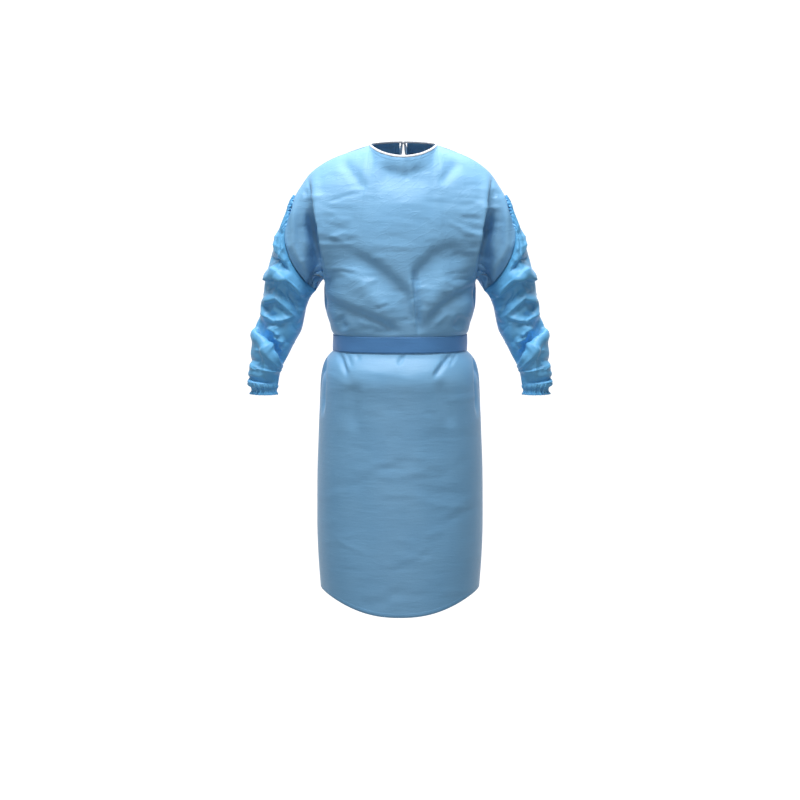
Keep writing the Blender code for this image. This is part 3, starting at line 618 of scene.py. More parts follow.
# The lap: how far short of the middle a free edge is at the neck, and past it at the waist and below, both in
# turns, the height where it is full, and how far off the outer panel lies.
NECK_OPENING = 0.03
LAP = 0.28
FULL_LAP_HEIGHT = -0.50
LAP_LAYER = 0.005
LAP_COLUMNS = 3
BACK_FOLDS = (
    (6, 26, ((-140, -240), (-30, -345))),
    (6, 26, ((140, -250), (35, -340))),
    (6, 14, ((-160, -385), (-60, -428))),
    (6, 14, ((155, -382), (60, -425))),
    (10, 12, ((-122, -480), (-130, -590))),
    (9, 14, ((-82, -480), (-90, -640))),
    (9, 14, ((82, -480), (92, -620))),
    (10, 12, ((122, -480), (132, -580))),
    (12, 8, ((-169, -478), (-183, -605))),
    (12, 8, ((167, -478), (182, -605))),
    (5, 30, ((-90, -640), (-95, -1000))),
    (5, 30, ((95, -620), (110, -980))),
    (-4, 16, ((-115, -300), (-40, -385))),
    (-4, 16, ((120, -300), (52, -380))),
    (4, 12, ((-130, -45), (-85, -110))),
    (4, 12, ((140, -50), (98, -105))),
    (3, 10, ((50, -30), (62, -130))),
    (3, 10, ((-40, -30), (-52, -120))),
)
BACK_CRINKLES = (
    crinkles(21, 60, (-200, 200), (-300, -50), 0.14, (30, 100), (4.5, 9), (0.3, 1))
    + crinkles(22, 44, (-170, 170), (-440, -300), 0.35, (25, 70), (4, 8), (0.4, 1.2))
    + crinkles(23, 60, (-190, 190), (-1040, -520), 0.3, (30, 120), (6, 14), (0.3, 0.9))
)


def lap_turn(height):
    """How far short of the middle a back panel's free edge lies, below 0 when it has crossed it."""
    return NECK_OPENING - (LAP + NECK_OPENING) * ease(height / FULL_LAP_HEIGHT)


def lap_lift(x, z):
    """How far the outer back panel, or the belt, is lifted by the panel below it."""
    return LAP_LAYER * ease((0.18 - x) / 0.07) * ease((0.01 - z) / 0.05)


def back_panel(side):
    """A back panel with its folds. The +X one is lifted where it lies over the other."""
    def turns_at(height):
        last = lap_turn(height)
        lap = BACK_TURNS[-1] + (last - BACK_TURNS[-1]) * np.arange(1, LAP_COLUMNS + 1) / LAP_COLUMNS
        return side * np.array([*BACK_TURNS, *lap])

    points, turns = panel(turns_at, BACK)
    points = press(points, turns, BACK, [*BACK_FOLDS, *BACK_CRINKLES])
    if side == RIGHT:
        points[..., 1] += lap_lift(points[..., 0], points[..., 2]) * ease(points[..., 1] / 0.05)
    return points


back_points = {}
for side, word in SIDE_WORD.items():
    back_points[side] = back_panel(side)
    back = cloth(
        f"back_panel_{word}", back_points[side], GOWN_CLOTH,
        flipped=side == LEFT, edge=edge_distance(back_points[side]),
    )
    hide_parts(f"back_{word}")

# Sleeves: one piece each, cut wide, with an underarm seam. The top is gathered into the armhole. The spare
# length rides up the bent sleeve in folds that lie over each other, the lowest one like a funnel's lip.

# Sections along a sleeve: thousandths of its length, outer x, outer z, inner x, inner z, half depth, middle y
# and how far its front is swung out.
SLEEVE = MM * np.array([
    (0, 250, -122, 200, -342, 64, 0, 41),
    (100, 271, -165, 210, -353, 66, 1, 37),
    (200, 290, -215, 217, -366, 65, 3, 26),
    (300, 308, -270, 223, -384, 62, 4, 14),
    (400, 321, -325, 227, -404, 58, 3, 6),
    (500, 330, -380, 234, -434, 55, 0, 1),
    (600, 341, -430, 250, -464, 50, -8, 0),
    (700, 347, -476, 266, -496, 45, -18, 0),
    (800, 352, -516, 281, -526, 40, -28, 0),
    (900, 357, -542, 286, -546, 37, -35, 0),
    (1000, 360, -556, 289, -561, 36, -40, 0),
])
# Rolls of spare cloth round a sleeve: share of its length, angle of the roll's middle, half spread, rise for
# each radian, width, and height in metres. Angles are in degrees from the underarm seam: 90 is in front.
SLEEVE_ROLLS = (
    (0.200, 150, 60, -0.020, 0.050, 0.0030),
    (0.300, 95, 105, 0.080, 0.060, 0.0065),
    (0.435, 135, 65, 0.050, 0.045, -0.0045),
    (0.505, 130, 65, -0.040, 0.045, -0.0045),
    (0.650, 105, 125, -0.065, 0.060, -0.0085),
    (0.330, 290, 80, -0.060, 0.060, 0.0060),
    (0.450, 255, 80, 0.050, 0.055, 0.0055),
    (0.600, 275, 90, 0.060, 0.060, -0.0070),
    (0.780, 200, 90, 0.040, 0.055, 0.0035),
    (0.900, 170, 110, 0.000, 0.060, 0.0030),
)
# Rows along a sleeve, and columns for each step round its armhole.
SLEEVE_ROWS = 151
SLEEVE_COLUMNS = 11
# Gathers sewn into the armhole and longer pleats among them: distance apart, height.
GATHERS = (0.0085, 0.0058)
PLEATS = (0.0150, 0.0020)
LOWER_GATHERS = (0.0090, 0.0012)
CREASE_SOFTNESS = 1.15
# Folds of the +X sleeve, in millimetres as above: those in front, and those seen from behind. Their lines run
# down or inwards.
SLEEVE_FRONT_FOLDS = (
    (11.2, (4, 16), ((310, -262), (290, -266), (275, -276), (258, -296))),
    (-6.3, (10, 12), ((305, -288), (280, -298), (262, -312))),
    (-11.2, (20, 2.5), ((322, -318), (293, -310), (262, -324), (235, -352.5))),
    (8.4, (2, 11), ((322, -322), (293, -314), (262, -328), (235, -356))),
    (-9.4, (13, 4), ((325, -372), (293, -360), (272, -378), (250, -400))),
    (8.4, (3, 8), ((325, -377), (293, -366), (275, -382))),
    (-9.4, (10, 4), ((326, -398), (298, -413.5), (275, -410), (252, -400))),
    (7.4, (3, 9), ((320, -404), (298, -419), (270, -415))),
    (-6.3, (4, 3), ((312, -428), (300, -436), (287, -446))),
    (6.3, (3, 4), ((306, -438), (284, -453))),
    (-7.4, (5, 3), ((300, -447), (289, -457), (274, -463))),
    (-6.3, (5, 3), ((290, -470), (276, -484))),
    (14, (13, 2), ((344, -424), (331, -441), (314, -454), (300, -471), (274, -515))),
    (-11.5, (2, 70), ((344, -427), (331, -446), (314, -458), (301, -475), (278, -519))),
    (-6.3, (2, 7), ((317, -475), (302, -496), (284, -526))),
    (-6, (14, 4), ((317.5, -470), (318, -515), (319, -556))),
    (-6.3, (7, 5), ((288, -190), (292, -225), (290, -256))),
    (6.3, (4, 7), ((279, -196), (282, -232), (279, -262))),
    (5.2, (4, 6), ((350, -500), (334, -506), (322, -504))),
    (-5.2, (4, 4), ((349, -520), (338, -527), (328, -524))),
    (8.4, (6, 3), ((358, -547), (330, -551), (296, -557))),
    (7.4, (4, 10), ((262, -345), (246, -372), (238, -398))),
    (5.2, (3, 6), ((285, -335), (268, -350), (262, -366))),
)
SLEEVE_BACK_FOLDS = (
    (11.2, (4, 18), ((300, -246), (272, -262), (240, -292))),
    (-9.4, (18, 3), ((318, -300), (290, -304), (258, -330), (232, -366))),
    (8.4, (2, 12), ((318, -304), (290, -309), (258, -335))),
    (-10.4, (12, 4), ((324, -352), (294, -366), (262, -372), (240, -392))),
    (9.4, (3, 10), ((322, -358), (292, -373), (262, -378))),
    (-9.4, (10, 4), ((332, -388), (306, -404), (276, -402), (252, -420))),
    (7.4, (3, 8), ((328, -395), (304, -411), (276, -409))),
    (13.1, (12, 2), ((342, -436), (322, -452), (300, -470), (276, -500))),
    (-11, (2, 60), ((342, -440), (322, -457), (302, -475), (280, -505))),
    (-6.3, (5, 3), ((318, -424), (298, -436), (280, -440))),
    (6.3, (4, 6), ((350, -505), (326, -512), (304, -520))),
    (8.4, (6, 3), ((358, -545), (330, -550), (296, -556))),
)
SLEEVE_CRINKLES = {
    face: crinkles(seed, 84, (215, 350), (-550, -180), 0.6, (20, 52), (2.2, 5.8), (1.2, 3.8))
    for face, seed in ((FRONT, 31), (BACK, 32))
}
sleeve_size = [smooth_curve(SLEEVE[:, 0], SLEEVE[:, n]) for n in range(1, 8)]


def ring(sizes, angles, middle_y):
    """A tilted oval between an outer and an inner point."""
    outer_x, outer_z, inner_x, inner_z, half_depth = sizes
    rise = (1 - np.cos(angles)) / 2
    x = inner_x + (outer_x - inner_x) * rise
    z = inner_z + (outer_z - inner_z) * rise
    return np.stack([x, middle_y - half_depth * np.sin(angles), z], axis=-1)


def roll_height(share, angles):
    """How far the rolls of spare cloth stand out at this share of the sleeve's length."""
    height = np.zeros(len(angles))
    for place, middle, spread, rise, width, tall in SLEEVE_ROLLS:
        turned = (np.degrees(angles) - middle + 180) % 360 - 180
        window = np.cos(np.clip(turned / spread, -1, 1) * math.pi / 2) ** 2
        aside = (share - place - rise * np.radians(turned)) / width
        stands, dips = bell(2 * (aside + 0.45)), bell(2 * (aside - 0.45))
        height += tall * window * (stands - 0.8 * dips)
    return height


def round_sleeve(count):
    """Angles round the sleeve from the underarm seam: each step of the armhole in equal parts."""
    front = np.radians(between(ARMHOLE_ANGLES, count))
    return np.concatenate([front, 2 * math.pi - front[-2:0:-1]])


def puckers(places, pitch, height, seed):
    """Gathers along a seam: uneven waves about one pitch apart."""
    sway = 0.55 * np.sin(places / pitch * 1.31 + seed) + 0.35 * np.sin(places / pitch * 0.47 + 2.2 * seed)
    wave = np.cos(2 * math.pi * places / pitch + 2.6 * sway)
    return height * wave * (0.7 + 0.3 * np.sin(places / pitch * 2.1 + seed))


def sleeve_surface():
    """The +X sleeve, from a lip under the armhole's seam to the cuff, and how far along it each point is."""
    angles = round_sleeve(SLEEVE_COLUMNS)
    rows = []
    for share in np.linspace(0, 1, SLEEVE_ROWS):
        *sizes, middle_y, bulge = [size(share) for size in sleeve_size]
        points = ring(sizes, angles, middle_y)
        points[:, 0] += bulge * np.sin(angles) ** 2
        rolls = roll_height(share, angles) * ease(share / 0.06) * ease((1 - share) / 0.06)
        rows.append(points + unit(points - points.mean(axis=0)) * rolls[:, None])
    points = np.array(rows)

    down, along_seam = travelled(points), travelled(points[0])
    up = down[-1] - down
    over_shoulder = 1 - ease((np.abs(np.degrees(angles) - 180) - 54) / 20)
    reach = 0.023 + 0.010 * np.sin(along_seam / 0.011 + 0.7)
    gathers = puckers(along_seam, *GATHERS, 0.8) * over_shoulder * bell(down / reach)
    pleats = puckers(along_seam, *PLEATS, 2.1) * over_shoulder * ease(down / 0.01) * bell(down / 0.055)
    lower = puckers(along_seam, *LOWER_GATHERS, 1.7) * bell(up / 0.014)
    to_front = np.sin(angles)
    below_gathers = ease((142 - np.degrees(angles)) / 25) * ease(to_front * 2)
    valley = below_gathers * (0.009 * np.exp(-down / 0.004) + 0.006 * bell((down - 0.005) / 0.013))

    x, z = points[..., 0], points[..., 2]
    folds = valley - gathers - pleats - lower
    for face, table in ((FRONT, SLEEVE_FRONT_FOLDS), (BACK, SLEEVE_BACK_FOLDS)):
        window = ease(-face * to_front * 2.2) * ease(down / 0.02)
        folds = folds + window * fold_depth(x, z, [*table, *SLEEVE_CRINKLES[face]], CREASE_SOFTNESS)
    points = points + facing(points, closed=True) * folds[..., None]

    lip = points[0] + (points[0] - points[2]) * 0.9 + facing(points, closed=True)[0] * 0.0022
    return np.concatenate([[lip], points]), np.concatenate([down[:1], down])


# The sleeves and cuffs have their own copy of the nonwoven, bluer and less red than the body's: painted
# light, for the deep saturated shade in their folds and the light that shines through their thin cloth.
SLEEVE_CLOTH_PAINTED_LIGHT = nonwoven(
    "sleeve nonwoven with painted light", colour=(0.130, 0.450, 0.775), deep=(0.090, 0.390, 0.725), pale=(0.185, 0.505, 0.840),
    roughness=0.44,
)
sleeve_points, sleeve_down = sleeve_surface()
for side, word in SIDE_WORD.items():
    sleeve = cloth(
        f"sleeve_cloth_{word}", sleeve_points * (side, 1, 1), SLEEVE_CLOTH_PAINTED_LIGHT,
        closed=True, flipped=side == RIGHT, edge=sleeve_down,
    )
    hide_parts(f"sleeve_{word}")

# Cuffs: the end of each sleeve is turned over an elastic and sewn down, which draws it in and leaves a short
# ruffle below.

# Rings of a cuff, from the sleeve down: outer x, outer z, inner x, inner z, half depth, gather height.
CUFF = MM * np.array([
    (360, -556, 289, -561, 36, 0.4),
    (360.5, -560, 288.5, -564.5, 36.2, 1),
    (357.5, -564.5, 289.5, -568.5, 35, 1.6),
    (351, -568.5, 292, -572, 31.5, 2),
    (350, -573, 293, -576, 31, 1.7),
    (350.5, -577.5, 292.8, -579.5, 31.2, 1.9),
    (353.5, -581, 291.5, -582.5, 32.8, 2.2),
    (354.5, -584.5, 290.5, -585.5, 33.3, 2.6),
])
CUFF_MIDDLE_Y = -0.040
CUFF_PITCH = 0.0105
CUFF_COLUMNS = 300
CUFF_ROW_SPACING = 0.0013


def cuff_surface():
    """The +X cuff: a casing drawn in by its elastic, with a short ruffle at the opening."""
    angles = np.linspace(0, 2 * math.pi, CUFF_COLUMNS, endpoint=False)
    rows = np.array([ring(sizes[:5], angles, CUFF_MIDDLE_Y) for sizes in CUFF])
    gathers = np.repeat(CUFF[:, 5:, None], CUFF_COLUMNS, axis=1)
    made = fill_in(np.concatenate([rows, gathers], axis=-1), CUFF_ROW_SPACING)
    points, tall = made[..., :3], made[..., 3]
    round_it = travelled(points[0])
    total = round_it[-1] + np.linalg.norm(points[0, 0] - points[0, -1])
    # A whole number of gathers goes round.
    gather = 2 * math.pi * round_it / total * round(total / CUFF_PITCH)
    turn = 2 * math.pi * round_it / round_it[-1]
    sway = 0.8 * np.sin(5 * turn) + 0.7 * np.sin(9 * turn + 1.0)
    wave = np.cos(gather + 1.5 * sway) * (0.75 + 0.35 * np.sin(4 * turn + 0.6))
    wave += 0.5 * np.cos(gather * 2.03 + sway)
    return points + unit(points - points.mean(axis=1, keepdims=True)) * (tall * wave)[..., None]


cuff_points = cuff_surface()
for side, word in SIDE_WORD.items():
    cuff = cloth(
        f"cuff_cloth_{word}", cuff_points * (side, 1, 1), SLEEVE_CLOTH_PAINTED_LIGHT,
        closed=True, flipped=side == RIGHT, edge=edge_distance(cuff_points, ("last_row",)),
    )
    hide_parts(f"cuff_{word}")

# Neck binding: a bias strip of white nonwoven, folded over the raw edge of the neck and sewn through. Its two
# ends run on behind, where they are tied in a small knot and hang as the neck ties.
BINDING_HEIGHT = 0.0052
BINDING_HALF_THICKNESS = 0.0013
# Places along the neck's edge behind, in turns, out from the knot.
BINDING_TURNS = (0.01, 0.06, 0.12, 0.20, 0.27, 0.35)
# The knot's size, and the ties' width, lengths and how far apart their ends hang.
NECK_KNOT = (0.014, 0.009, 0.012)
NECK_TIE_WIDTH = 0.010
NECK_TIES = {LEFT: 0.130, RIGHT: 0.120}
NECK_TIE_SPREAD = 0.022
TIE_THICKNESS = 1.1 * MM
# The share of a knot's size that its cloth reaches from its middle, and the angles round each strip in it.
KNOT_REACH = 0.45
KNOT_ANGLES = np.linspace(0, 2 * math.pi, 40, endpoint=False)


def strip_finish(name, colour, pale, roughness, grain):
    """A narrow strip: flat colour with a faint lengthwise grain and a fine bonded surface."""
    finish = Finish(name, Sheen_Weight=0.2, Sheen_Roughness=0.5, Specular_IOR_Level=0.3)
    lengthwise = finish.noise(grain, 3.0, stretch=(2.5, 2.5, 0.35))
    fibres = finish.noise(520.0, 3.0)
    tint = finish.blend((lengthwise - 0.5) * 0.8 + 0.45, colour, pale)
    finish.feed(finish.shader, {"Base_Color": tint, "Roughness": (fibres - 0.5) * 0.2 + roughness})
    low = finish.bump(fibres, 0.0001)
    finish.feed(finish.shader, {"Normal": finish.bump(lengthwise, 0.0004, low)})
    return finish.material


WHITE_STRIP = strip_finish("white binding strip", (0.80, 0.81, 0.83), (0.88, 0.885, 0.90), 0.62, 160.0)


def neck_line():
    """The neck edge from one side of the knot, round the front, to the other side."""
    front = np.linspace(-NECK_TURN, NECK_TURN, 150)[1:-1]
    back = np.append(np.interp(np.linspace(0, 5, 60), np.arange(6), BINDING_TURNS), NECK_TURN)
    stretches = ((-back, BACK), (front, FRONT), (back[::-1], BACK))
    edges = [np.stack(top_edge(turns, face), axis=-1) * (1, face, 1) for turns, face in stretches]
    return np.concatenate(edges)


def sweep(name, path, up, aside, outline, material, flipped=False):
    """A closed outline, or one for each point, carried along a path and capped. up and aside are ways, for
    the whole path or for each point."""
    up, aside = np.broadcast_to(up, path.shape), np.broadcast_to(aside, path.shape)
    outline = np.broadcast_to(outline, (len(path), *np.shape(outline)[-2:]))
    rings = path[:, None] + aside[:, None] * outline[..., :1] + up[:, None] * outline[..., 1:]
    count, sides = outline.shape[:2]
    faces = grid_faces(count, sides, closed=True).tolist()
    faces += [list(range(sides))[::-1], list(range((count - 1) * sides, count * sides))]
    if flipped:
        faces = [face[::-1] for face in faces]
    return gown_piece(name, rings, faces, material)


def rounded_outline(half_width, half_height, sides=14, power=0.55):
    """A flattened oval, given as points aside and up."""
    angles = np.linspace(0, 2 * math.pi, sides, endpoint=False)
    ways = np.stack([np.cos(angles), np.sin(angles)], axis=-1)
    return np.sign(ways) * np.abs(ways) ** power * (half_width, half_height)


neck_edge = neck_line()
neck_up = unit(np.stack([-neck_edge[:, 0] * 8, -neck_edge[:, 1] * 4.5, np.ones(len(neck_edge))], axis=-1))
neck_along = unit(np.gradient(neck_edge, axis=0))
neck_aside = unit(np.cross(neck_along, neck_up))
neck_place = np.arange(len(neck_edge))[:, None]
binding_wave = 0.00025 * np.sin(neck_place * 0.55) * np.sin(neck_place * 0.173)
binding = sweep(
    "neck_strip", neck_edge + neck_up * (BINDING_HEIGHT / 2) + neck_aside * binding_wave, neck_up, neck_aside,
    rounded_outline(BINDING_HALF_THICKNESS, BINDING_HEIGHT / 2), WHITE_STRIP,
)
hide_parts("neck_binding")


def back_depths():
    """How deep the outermost back panel lies, over a grid of x and height behind the neck and the waist."""
    places, heights = np.linspace(-0.07, 0.07, 57), np.linspace(-0.80, 0.004, 403)
    depths = np.full((len(places), len(heights)), -1.0)
    for side, rows in back_points.items():
        rows = rows[:, ::-side]
        z = np.array([np.interp(places, row[:, 0], row[:, 2]) for row in rows])
        y = np.array([np.interp(places, row[:, 0], row[:, 1]) for row in rows])
        for k in range(len(places)):
            depths[k] = np.maximum(depths[k], np.interp(heights, z[:, k], y[:, k]))
    return places, heights, depths


BACK_PLACES, BACK_HEIGHTS, BACK_DEPTHS = back_depths()


def depth_on_back(x, z, reach=0.005):
    """The depth of the outermost cloth near these points of the back."""
    i = np.clip(np.searchsorted(BACK_PLACES, x), 1, len(BACK_PLACES) - 1)
    found = []
    for height in (z - reach, z, z + reach):
        j = np.clip(np.searchsorted(BACK_HEIGHTS, height), 0, len(BACK_HEIGHTS) - 1)
        found.append(np.maximum(BACK_DEPTHS[i, j], BACK_DEPTHS[i - 1, j]))
    return np.max(found, axis=0)


def hanging_strip(start, end, widths, lift, bow):
    """A strip that hangs down the back: bunched at its knot and flat below, with a soft curl. widths and lift
    give its width and how far it stands off the cloth, at the knot and lower down."""
    share = np.linspace(0, 1, 90)[:, None]
    across = np.linspace(-1, 1, 15)[None]
    half = (widths[0] + (widths[1] - widths[0]) * ease(share / 0.18)) / 2
    x = start[0] + (end[0] - start[0]) * share + bow * np.sin(share * math.pi) + across * half
    z = start[1] + (end[1] - start[1]) * share - 0.06 * half * across * np.sin(7 * share)
    off = lift[0] + (lift[1] - lift[0]) * ease(share / 0.12)
    bunch = 1 - ease(share / 0.25)
    curl = 0.10 * half * (1 - np.cos(across * 1.9 + 1.3 * np.sin(6 * share)))
    ripple = 0.10 * half * bunch * np.cos(across * math.pi * 2.5)
    return np.stack([x, depth_on_back(x, z) + off + ripple + curl, z], axis=-1)


def pleated_oval(half_width, half_height, pleats, depth):
    size = 1 + depth * np.cos(pleats * KNOT_ANGLES)
    oval = np.stack([np.cos(KNOT_ANGLES), np.sin(KNOT_ANGLES)], axis=-1) * (half_width, half_height)
    return oval * size[:, None]


def tied_knot(name, size, place, material):
    """A strip's two ends crossed and drawn tight: a pleated bunch from side to side, and a turn of the strip
    wound round its middle."""
    width, depth, height = (KNOT_REACH * length for length in size)
    x = np.linspace(-width, width, 25)
    pinch = 1 - 0.45 * bell(x / width / 0.45)
    bunch = [pleated_oval(depth * 0.62 * (0.75 + 0.25 * k), height * 0.85 * k, 7, 0.10) for k in pinch]
    path = place + np.stack([x, 0 * x - 0.1 * depth, 0.12 * height * np.sin(x / width * 2)], axis=-1)
    through = sweep(f"{name}_bunch", path, (0, 0, 1), (0, 1, 0), bunch, material, flipped=True)

    turn = np.linspace(0, 2 * math.pi, 49)[:, None]
    up = np.concatenate([0 * turn, np.cos(turn), np.sin(turn)], axis=-1)
    round_it = place + up * (0, depth * 0.86, height * 0.80) + np.cos(turn) * (0.16 * width, 0, 0)
    band = np.stack([
        width * (0.36 + 0.05 * np.sin(2 * turn)) * np.cos(KNOT_ANGLES),
        depth * (0.13 * np.sin(KNOT_ANGLES) + 0.05 * np.cos(6 * KNOT_ANGLES + turn)),
    ], axis=-1)
    sweep(f"{name}_turn", round_it, up, (1, 0, 0), band, material)
    return through


neck_knot_place = (NECK_SHIFT, NECK_BACK + 0.0008 + KNOT_REACH * NECK_KNOT[1], NECK_RISE + BINDING_HEIGHT / 2)
neck_bunch = tied_knot("neck_knot", NECK_KNOT, neck_knot_place, WHITE_STRIP)
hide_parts("neck_knot")
for side, word in SIDE_WORD.items():
    top = neck_knot_place[2] - KNOT_REACH * NECK_KNOT[2] + 0.002
    strip = hanging_strip(
        (NECK_SHIFT + side * 0.003, top), (NECK_SHIFT + side * NECK_TIE_SPREAD, top - NECK_TIES[side]),
        (NECK_TIE_WIDTH / 2, NECK_TIE_WIDTH), (0.003, 0.0028), 0.004 * side,
    )
    tie = cloth(f"neck_strip_end_{word}", strip, WHITE_STRIP, thickness=TIE_THICKNESS)
    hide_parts(f"neck_tie_{word}")

# Belt: a strip of darker blue nonwoven, turned in along both edges. It goes once round the waist over the lap
# and is knotted behind, and its two ends hang down the back.

# How far the belt lies off the cloth, its thickness, the knot's box, the hanging ends' length, and for each
# end the share of that length, how far it lies off and its bow.
BELT_OFF = 0.0023
BELT_THICKNESS = 0.0012
BELT_KNOT = (0.046, 0.020, 0.042)
BELT_END_LENGTH = 0.27
BELT_ENDS = {LEFT: (0.96, 0.003, 0.004), RIGHT: (1.0, 0.006, -0.006)}
BELT_END_SPREAD = 0.034
BELT_MIDDLE = (BELT_TOP + BELT_BOTTOM) / 2
BELT_ROWS = 15
BELT_CLOTH = strip_finish("belt nonwoven", (0.070, 0.225, 0.500), (0.086, 0.255, 0.545), 0.58, 60.0)


def belt_surface():
    """The belt from one side of its knot, round the front, to the other side."""
    half = between([*FRONT_TURNS[:-2], 1.0], 6)
    back = between([*BACK_TURNS[3:], 0.006], 7)
    shares = np.linspace(0, 1, BELT_ROWS)
    rows = []
    for height in np.interp(shares, (0, 1), (BELT_BOTTOM + 0.0003, BELT_TOP - 0.0003)):
        level = []
        for turns, face in ((-back[::-1], BACK), (np.concatenate([-half[:0:-1], half]), FRONT), (back, BACK)):
            x, y, _ = body_level(height, turns, face)
            y = y + lap_lift(x, height) * ease((x + 0.115) / 0.03) * ease(y / 0.05)
            level.append(np.stack([x, y, np.full(len(x), height)], axis=-1))
        points = np.concatenate(level)
        normal = unit(points / (body_half_width(height) ** 2, body_front(height) ** 2, 1) * (1, 1, 0))
        rows.append(points + normal * BELT_OFF)
    points = np.array(rows)
    place = np.linspace(0, 1, points.shape[1])
    slack = 0.0005 * np.sin(place * 41) * np.sin(shares[:, None] * 3.6 + 7 * place)
    hems = -0.0005 * bell((np.abs(shares - 0.5) - 0.40) / 0.035)[:, None]
    near_knot = bell(np.minimum(place, 1 - place) / 0.03)
    drawn = 0.0016 * near_knot * np.cos(shares[:, None] * 2 * math.pi * 2.5)
    points = points + facing(points) * (slack + hems + drawn)[..., None]
    points[..., 2] += (BELT_MIDDLE - points[..., 2]) * 0.25 * near_knot
    return points


belt_points = belt_surface()
belt = cloth("belt_strip", belt_points, BELT_CLOTH, thickness=BELT_THICKNESS)
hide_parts("belt")

knot_off = BELT_OFF + KNOT_REACH * BELT_KNOT[1]
belt_knot_place = (0, float(depth_on_back(0.0, BELT_MIDDLE, 0)) + knot_off, BELT_MIDDLE)
belt_bunch = tied_knot("belt_knot", BELT_KNOT, belt_knot_place, BELT_CLOTH)
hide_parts("belt_knot")
belt_end_points = {}
for side, word in SIDE_WORD.items():
    drop, lift, bow = BELT_ENDS[side]
    top = BELT_MIDDLE - KNOT_REACH * BELT_KNOT[2] + 0.005
    end = belt_end_points[side] = hanging_strip(
        (side * 0.009, top), (side * BELT_END_SPREAD, top - 0.005 - BELT_END_LENGTH * drop),
        (0.35 * BELT_KNOT[0], BELT_TOP - BELT_BOTTOM), (knot_off - 0.004 + lift, lift + 0.0015), bow,
    )
    strip = cloth(f"belt_hanging_end_{word}", end, BELT_CLOTH, thickness=TIE_THICKNESS)
    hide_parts(f"belt_end_{word}")

# Sewing: rows of lockstitch in thread of the cloth's own colour, along the hem, the free edges behind, the
# shoulder, side and armhole seams, both edges of the belt, and round the cuffs and the neck strip.

# How far a row lies inside a hem, a seam and the belt's edges, and where the two rows of a cuff are.
HEM_STITCH = 0.004
SEAM_STITCH = 0.0018
BELT_STITCH = 0.002
CUFF_STITCHES = (0.35, 0.62)
THREAD_LENGTH = 0.0023
THREAD_PITCH = 0.0032
THREAD_HALF = 0.00022


def thread_finish(name, colour):
    finish = Finish(name, Roughness=0.5, Specular_IOR_Level=0.4)
    twist = finish.noise(900.0, 2.0)
    dark = tuple(0.8 * level for level in colour)
    finish.feed(finish.shader, {"Base_Color": finish.blend(twist, dark, colour)})
    finish.feed(finish.shader, {"Normal": finish.bump(twist, 0.0001)})
    return finish.material


GOWN_THREAD = thread_finish("light blue thread", (0.16, 0.37, 0.62))
BELT_THREAD = thread_finish("belt thread", (0.10, 0.23, 0.44))
WHITE_THREAD = thread_finish("white thread", (0.80, 0.81, 0.83))


def beside(points, way, edge, distance):
    """A line along one edge of a grid, moved onto the cloth by a distance, and the way the cloth faces."""
    if edge.endswith("column"):
        points, way = points.transpose(1, 0, 2), way.transpose(1, 0, 2)
    outer, inner = (0, 1) if edge.startswith("first") else (-1, -2)
    return points[outer] + unit(points[inner] - points[outer]) * distance, way[outer]


def stitch_rows(name, lines, material):
    """Every stitch of the given lines in one piece: each line is its points and the way the cloth faces."""
    corners, faces = [], []
    for line, out in lines:
        reached = travelled(line)
        for start in np.arange(THREAD_PITCH / 2, reached[-1] - THREAD_PITCH, THREAD_PITCH):
            first, middle, last = (
                np.array([np.interp(start + d, reached, line[:, k]) for k in range(3)])
                for d in (0, THREAD_LENGTH / 2, THREAD_LENGTH)
            )
            way = unit(np.array([np.interp(start, reached, out[:, k]) for k in range(3)]))
            side = unit(np.cross(last - first, way)) * THREAD_HALF
            sunk, high = way * THREAD_HALF, middle + way * THREAD_HALF * 1.5
            k = len(corners)
            corners += [first - sunk, middle - side, high, middle + side, last - sunk, middle - sunk]
            faces += [(k, k + 1, k + 2), (k, k + 2, k + 3), (k + 4, k + 2, k + 1), (k + 4, k + 3, k + 2)]
            faces += [(k, k + 5, k + 1), (k, k + 3, k + 5), (k + 4, k + 1, k + 5), (k + 4, k + 5, k + 3)]
    gown_piece(name, corners, faces, material)


front_way = facing(front_points)
hem_lines = [beside(front_points, front_way, "first_row", HEM_STITCH)]
edge_lines = [beside(front_points, front_way, edge, SEAM_STITCH) for edge in ("first_column", "last_column")]
for side, points in back_points.items():
    way = facing(points) * side
    hem_lines.append(beside(points, way, "first_row", HEM_STITCH))
    for edge in ("first_column", "last_column", "last_row"):
        distance = HEM_STITCH if edge == "last_column" else SEAM_STITCH
        edge_lines.append(beside(points, way, edge, distance))
cuff_way = -facing(cuff_points, closed=True)
for side in SIDE_WORD:
    for share in CUFF_STITCHES:
        row = int(len(cuff_points) * share)
        edge_lines.append((cuff_points[row] * (side, 1, 1), cuff_way[row] * (side, 1, 1)))
stitch_rows("gown_stitches", hem_lines + edge_lines, GOWN_THREAD)

belt_way = facing(belt_points)
belt_lines = [beside(belt_points, belt_way, edge, BELT_STITCH) for edge in ("first_row", "last_row")]
for points in belt_end_points.values():
    way = facing(points)
    way = way * np.sign(way[..., 1].mean())
    belt_lines += [beside(points, way, edge, BELT_STITCH) for edge in EDGES if edge != "first_row"]
stitch_rows("belt_stitches", belt_lines, BELT_THREAD)
outside = neck_aside * np.sign(np.sum(neck_aside * neck_edge * (1, 1, 0)))
binding_middle = neck_edge + neck_up * 0.0016 + outside * (BINDING_HALF_THICKNESS + 0.0001)
stitch_rows("neck_stitches", [(binding_middle, outside)], WHITE_THREAD)

# Studio: a wide grey floor that curves up into a backdrop, which glows white behind the gown, six soft lamps
# and a dim surround. The camera looks slightly down on the front.
FLOOR = -2.30
FLOOR_HALF_WIDTH = 14.0
FLOOR_FRONT = -8.0
WALL = 6.5
WALL_TOP = 7.0
WALL_CURVE = 1.5
CAMERA_TILT = 5.7


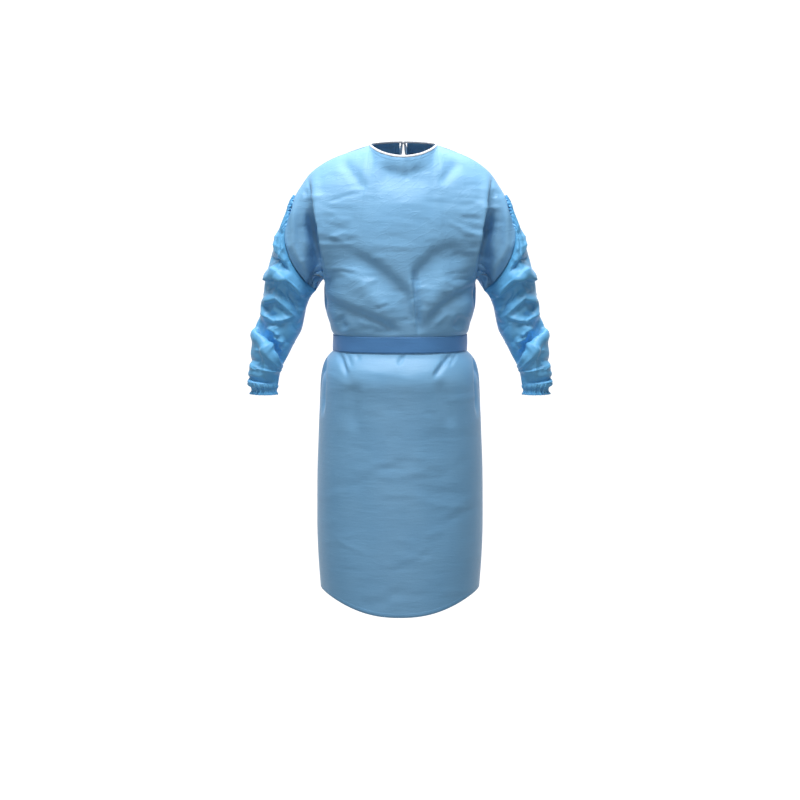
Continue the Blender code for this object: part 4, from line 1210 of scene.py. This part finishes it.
def studio_sheet():
    """The floor and its backdrop, in one sheet. Well behind the gown it glows white."""
    turn = np.linspace(0, math.pi / 2, 25)
    curve_y, curve_z = WALL + WALL_CURVE * (np.sin(turn) - 1), FLOOR + WALL_CURVE * (1 - np.cos(turn))
    outline = [(FLOOR_FRONT, FLOOR), (0.0, FLOOR), *zip(curve_y, curve_z), (WALL, WALL_TOP)]
    points = [[(x, y, z) for x in (-FLOOR_HALF_WIDTH, FLOOR_HALF_WIDTH)] for y, z in outline]
    paper = Finish("studio paper", Roughness=0.9, Specular_IOR_Level=0.1, Emission_Strength=0.85)
    behind = paper.node("ShaderNodeSeparateXYZ", None, {"Vector": paper.place()}, output=1)
    glow = ((behind - 0.4) * 0.55).clamped() ** 1.5
    grey = paper.blend(paper.noise(6.0), (0.40, 0.40, 0.405), (0.36, 0.36, 0.36))
    black, white = (0.0, 0.0, 0.0), (1.0, 1.0, 1.0)
    paper.feed(paper.shader, {"Emission_Color": paper.blend(glow, black, white), "Base_Color": grey})
    floor = smooth_mesh("studio_floor", points, grid_faces(len(outline), 2).tolist(), paper.material)


def soft_lamp(name, place, size, power, aim=(0, 0, -0.45)):
    lamp = bpy.data.lights.new(name, "AREA")
    lamp.shape = "RECTANGLE"
    lamp.size, lamp.size_y = size
    lamp.energy = power
    made = bpy.data.objects.new(name, lamp)
    made.location = place
    made.rotation_euler = (Vector(aim) - Vector(place)).to_track_quat("-Z", "Y").to_euler()
    bpy.context.scene.collection.objects.link(made)


studio_sheet()
soft_lamp("lamp_above", (-0.15, -0.95, 2.3), (2.2, 1.1), 114)
soft_lamp("lamp_front", (-0.2, -3.4, -0.8), (2.4, 1.2), 19, aim=(0, 0, -0.8))
soft_lamp("lamp_left", (-3.2, -2.2, 0.3), (1.2, 2.0), 14)
soft_lamp("lamp_right", (3.2, -2.2, 0.3), (1.2, 2.0), 11)
soft_lamp("lamp_behind", (0.3, 1.3, 2.3), (2.0, 1.0), 40)
soft_lamp("lamp_backdrop", (0.0, 1.4, 3.3), (5.0, 0.8), 120, aim=(0, 4.6, -2.0))

world = bpy.data.worlds.new("studio")
world.use_nodes = True
surround = world.node_tree.nodes["Background"]
surround.inputs["Color"].default_value = (0.95, 0.98, 1.0, 1)
surround.inputs["Strength"].default_value = 0.04
bpy.context.scene.world = world
bpy.context.scene.view_settings.view_transform = "Standard"

camera = bpy.data.objects.new("camera", bpy.data.cameras.new("camera"))
bpy.context.scene.collection.objects.link(camera)
camera.location = (0, -4.5, -0.154)
camera.rotation_euler = (math.radians(90 - CAMERA_TILT), 0, 0)
camera.data.lens = 85.2
bpy.context.scene.camera = camera
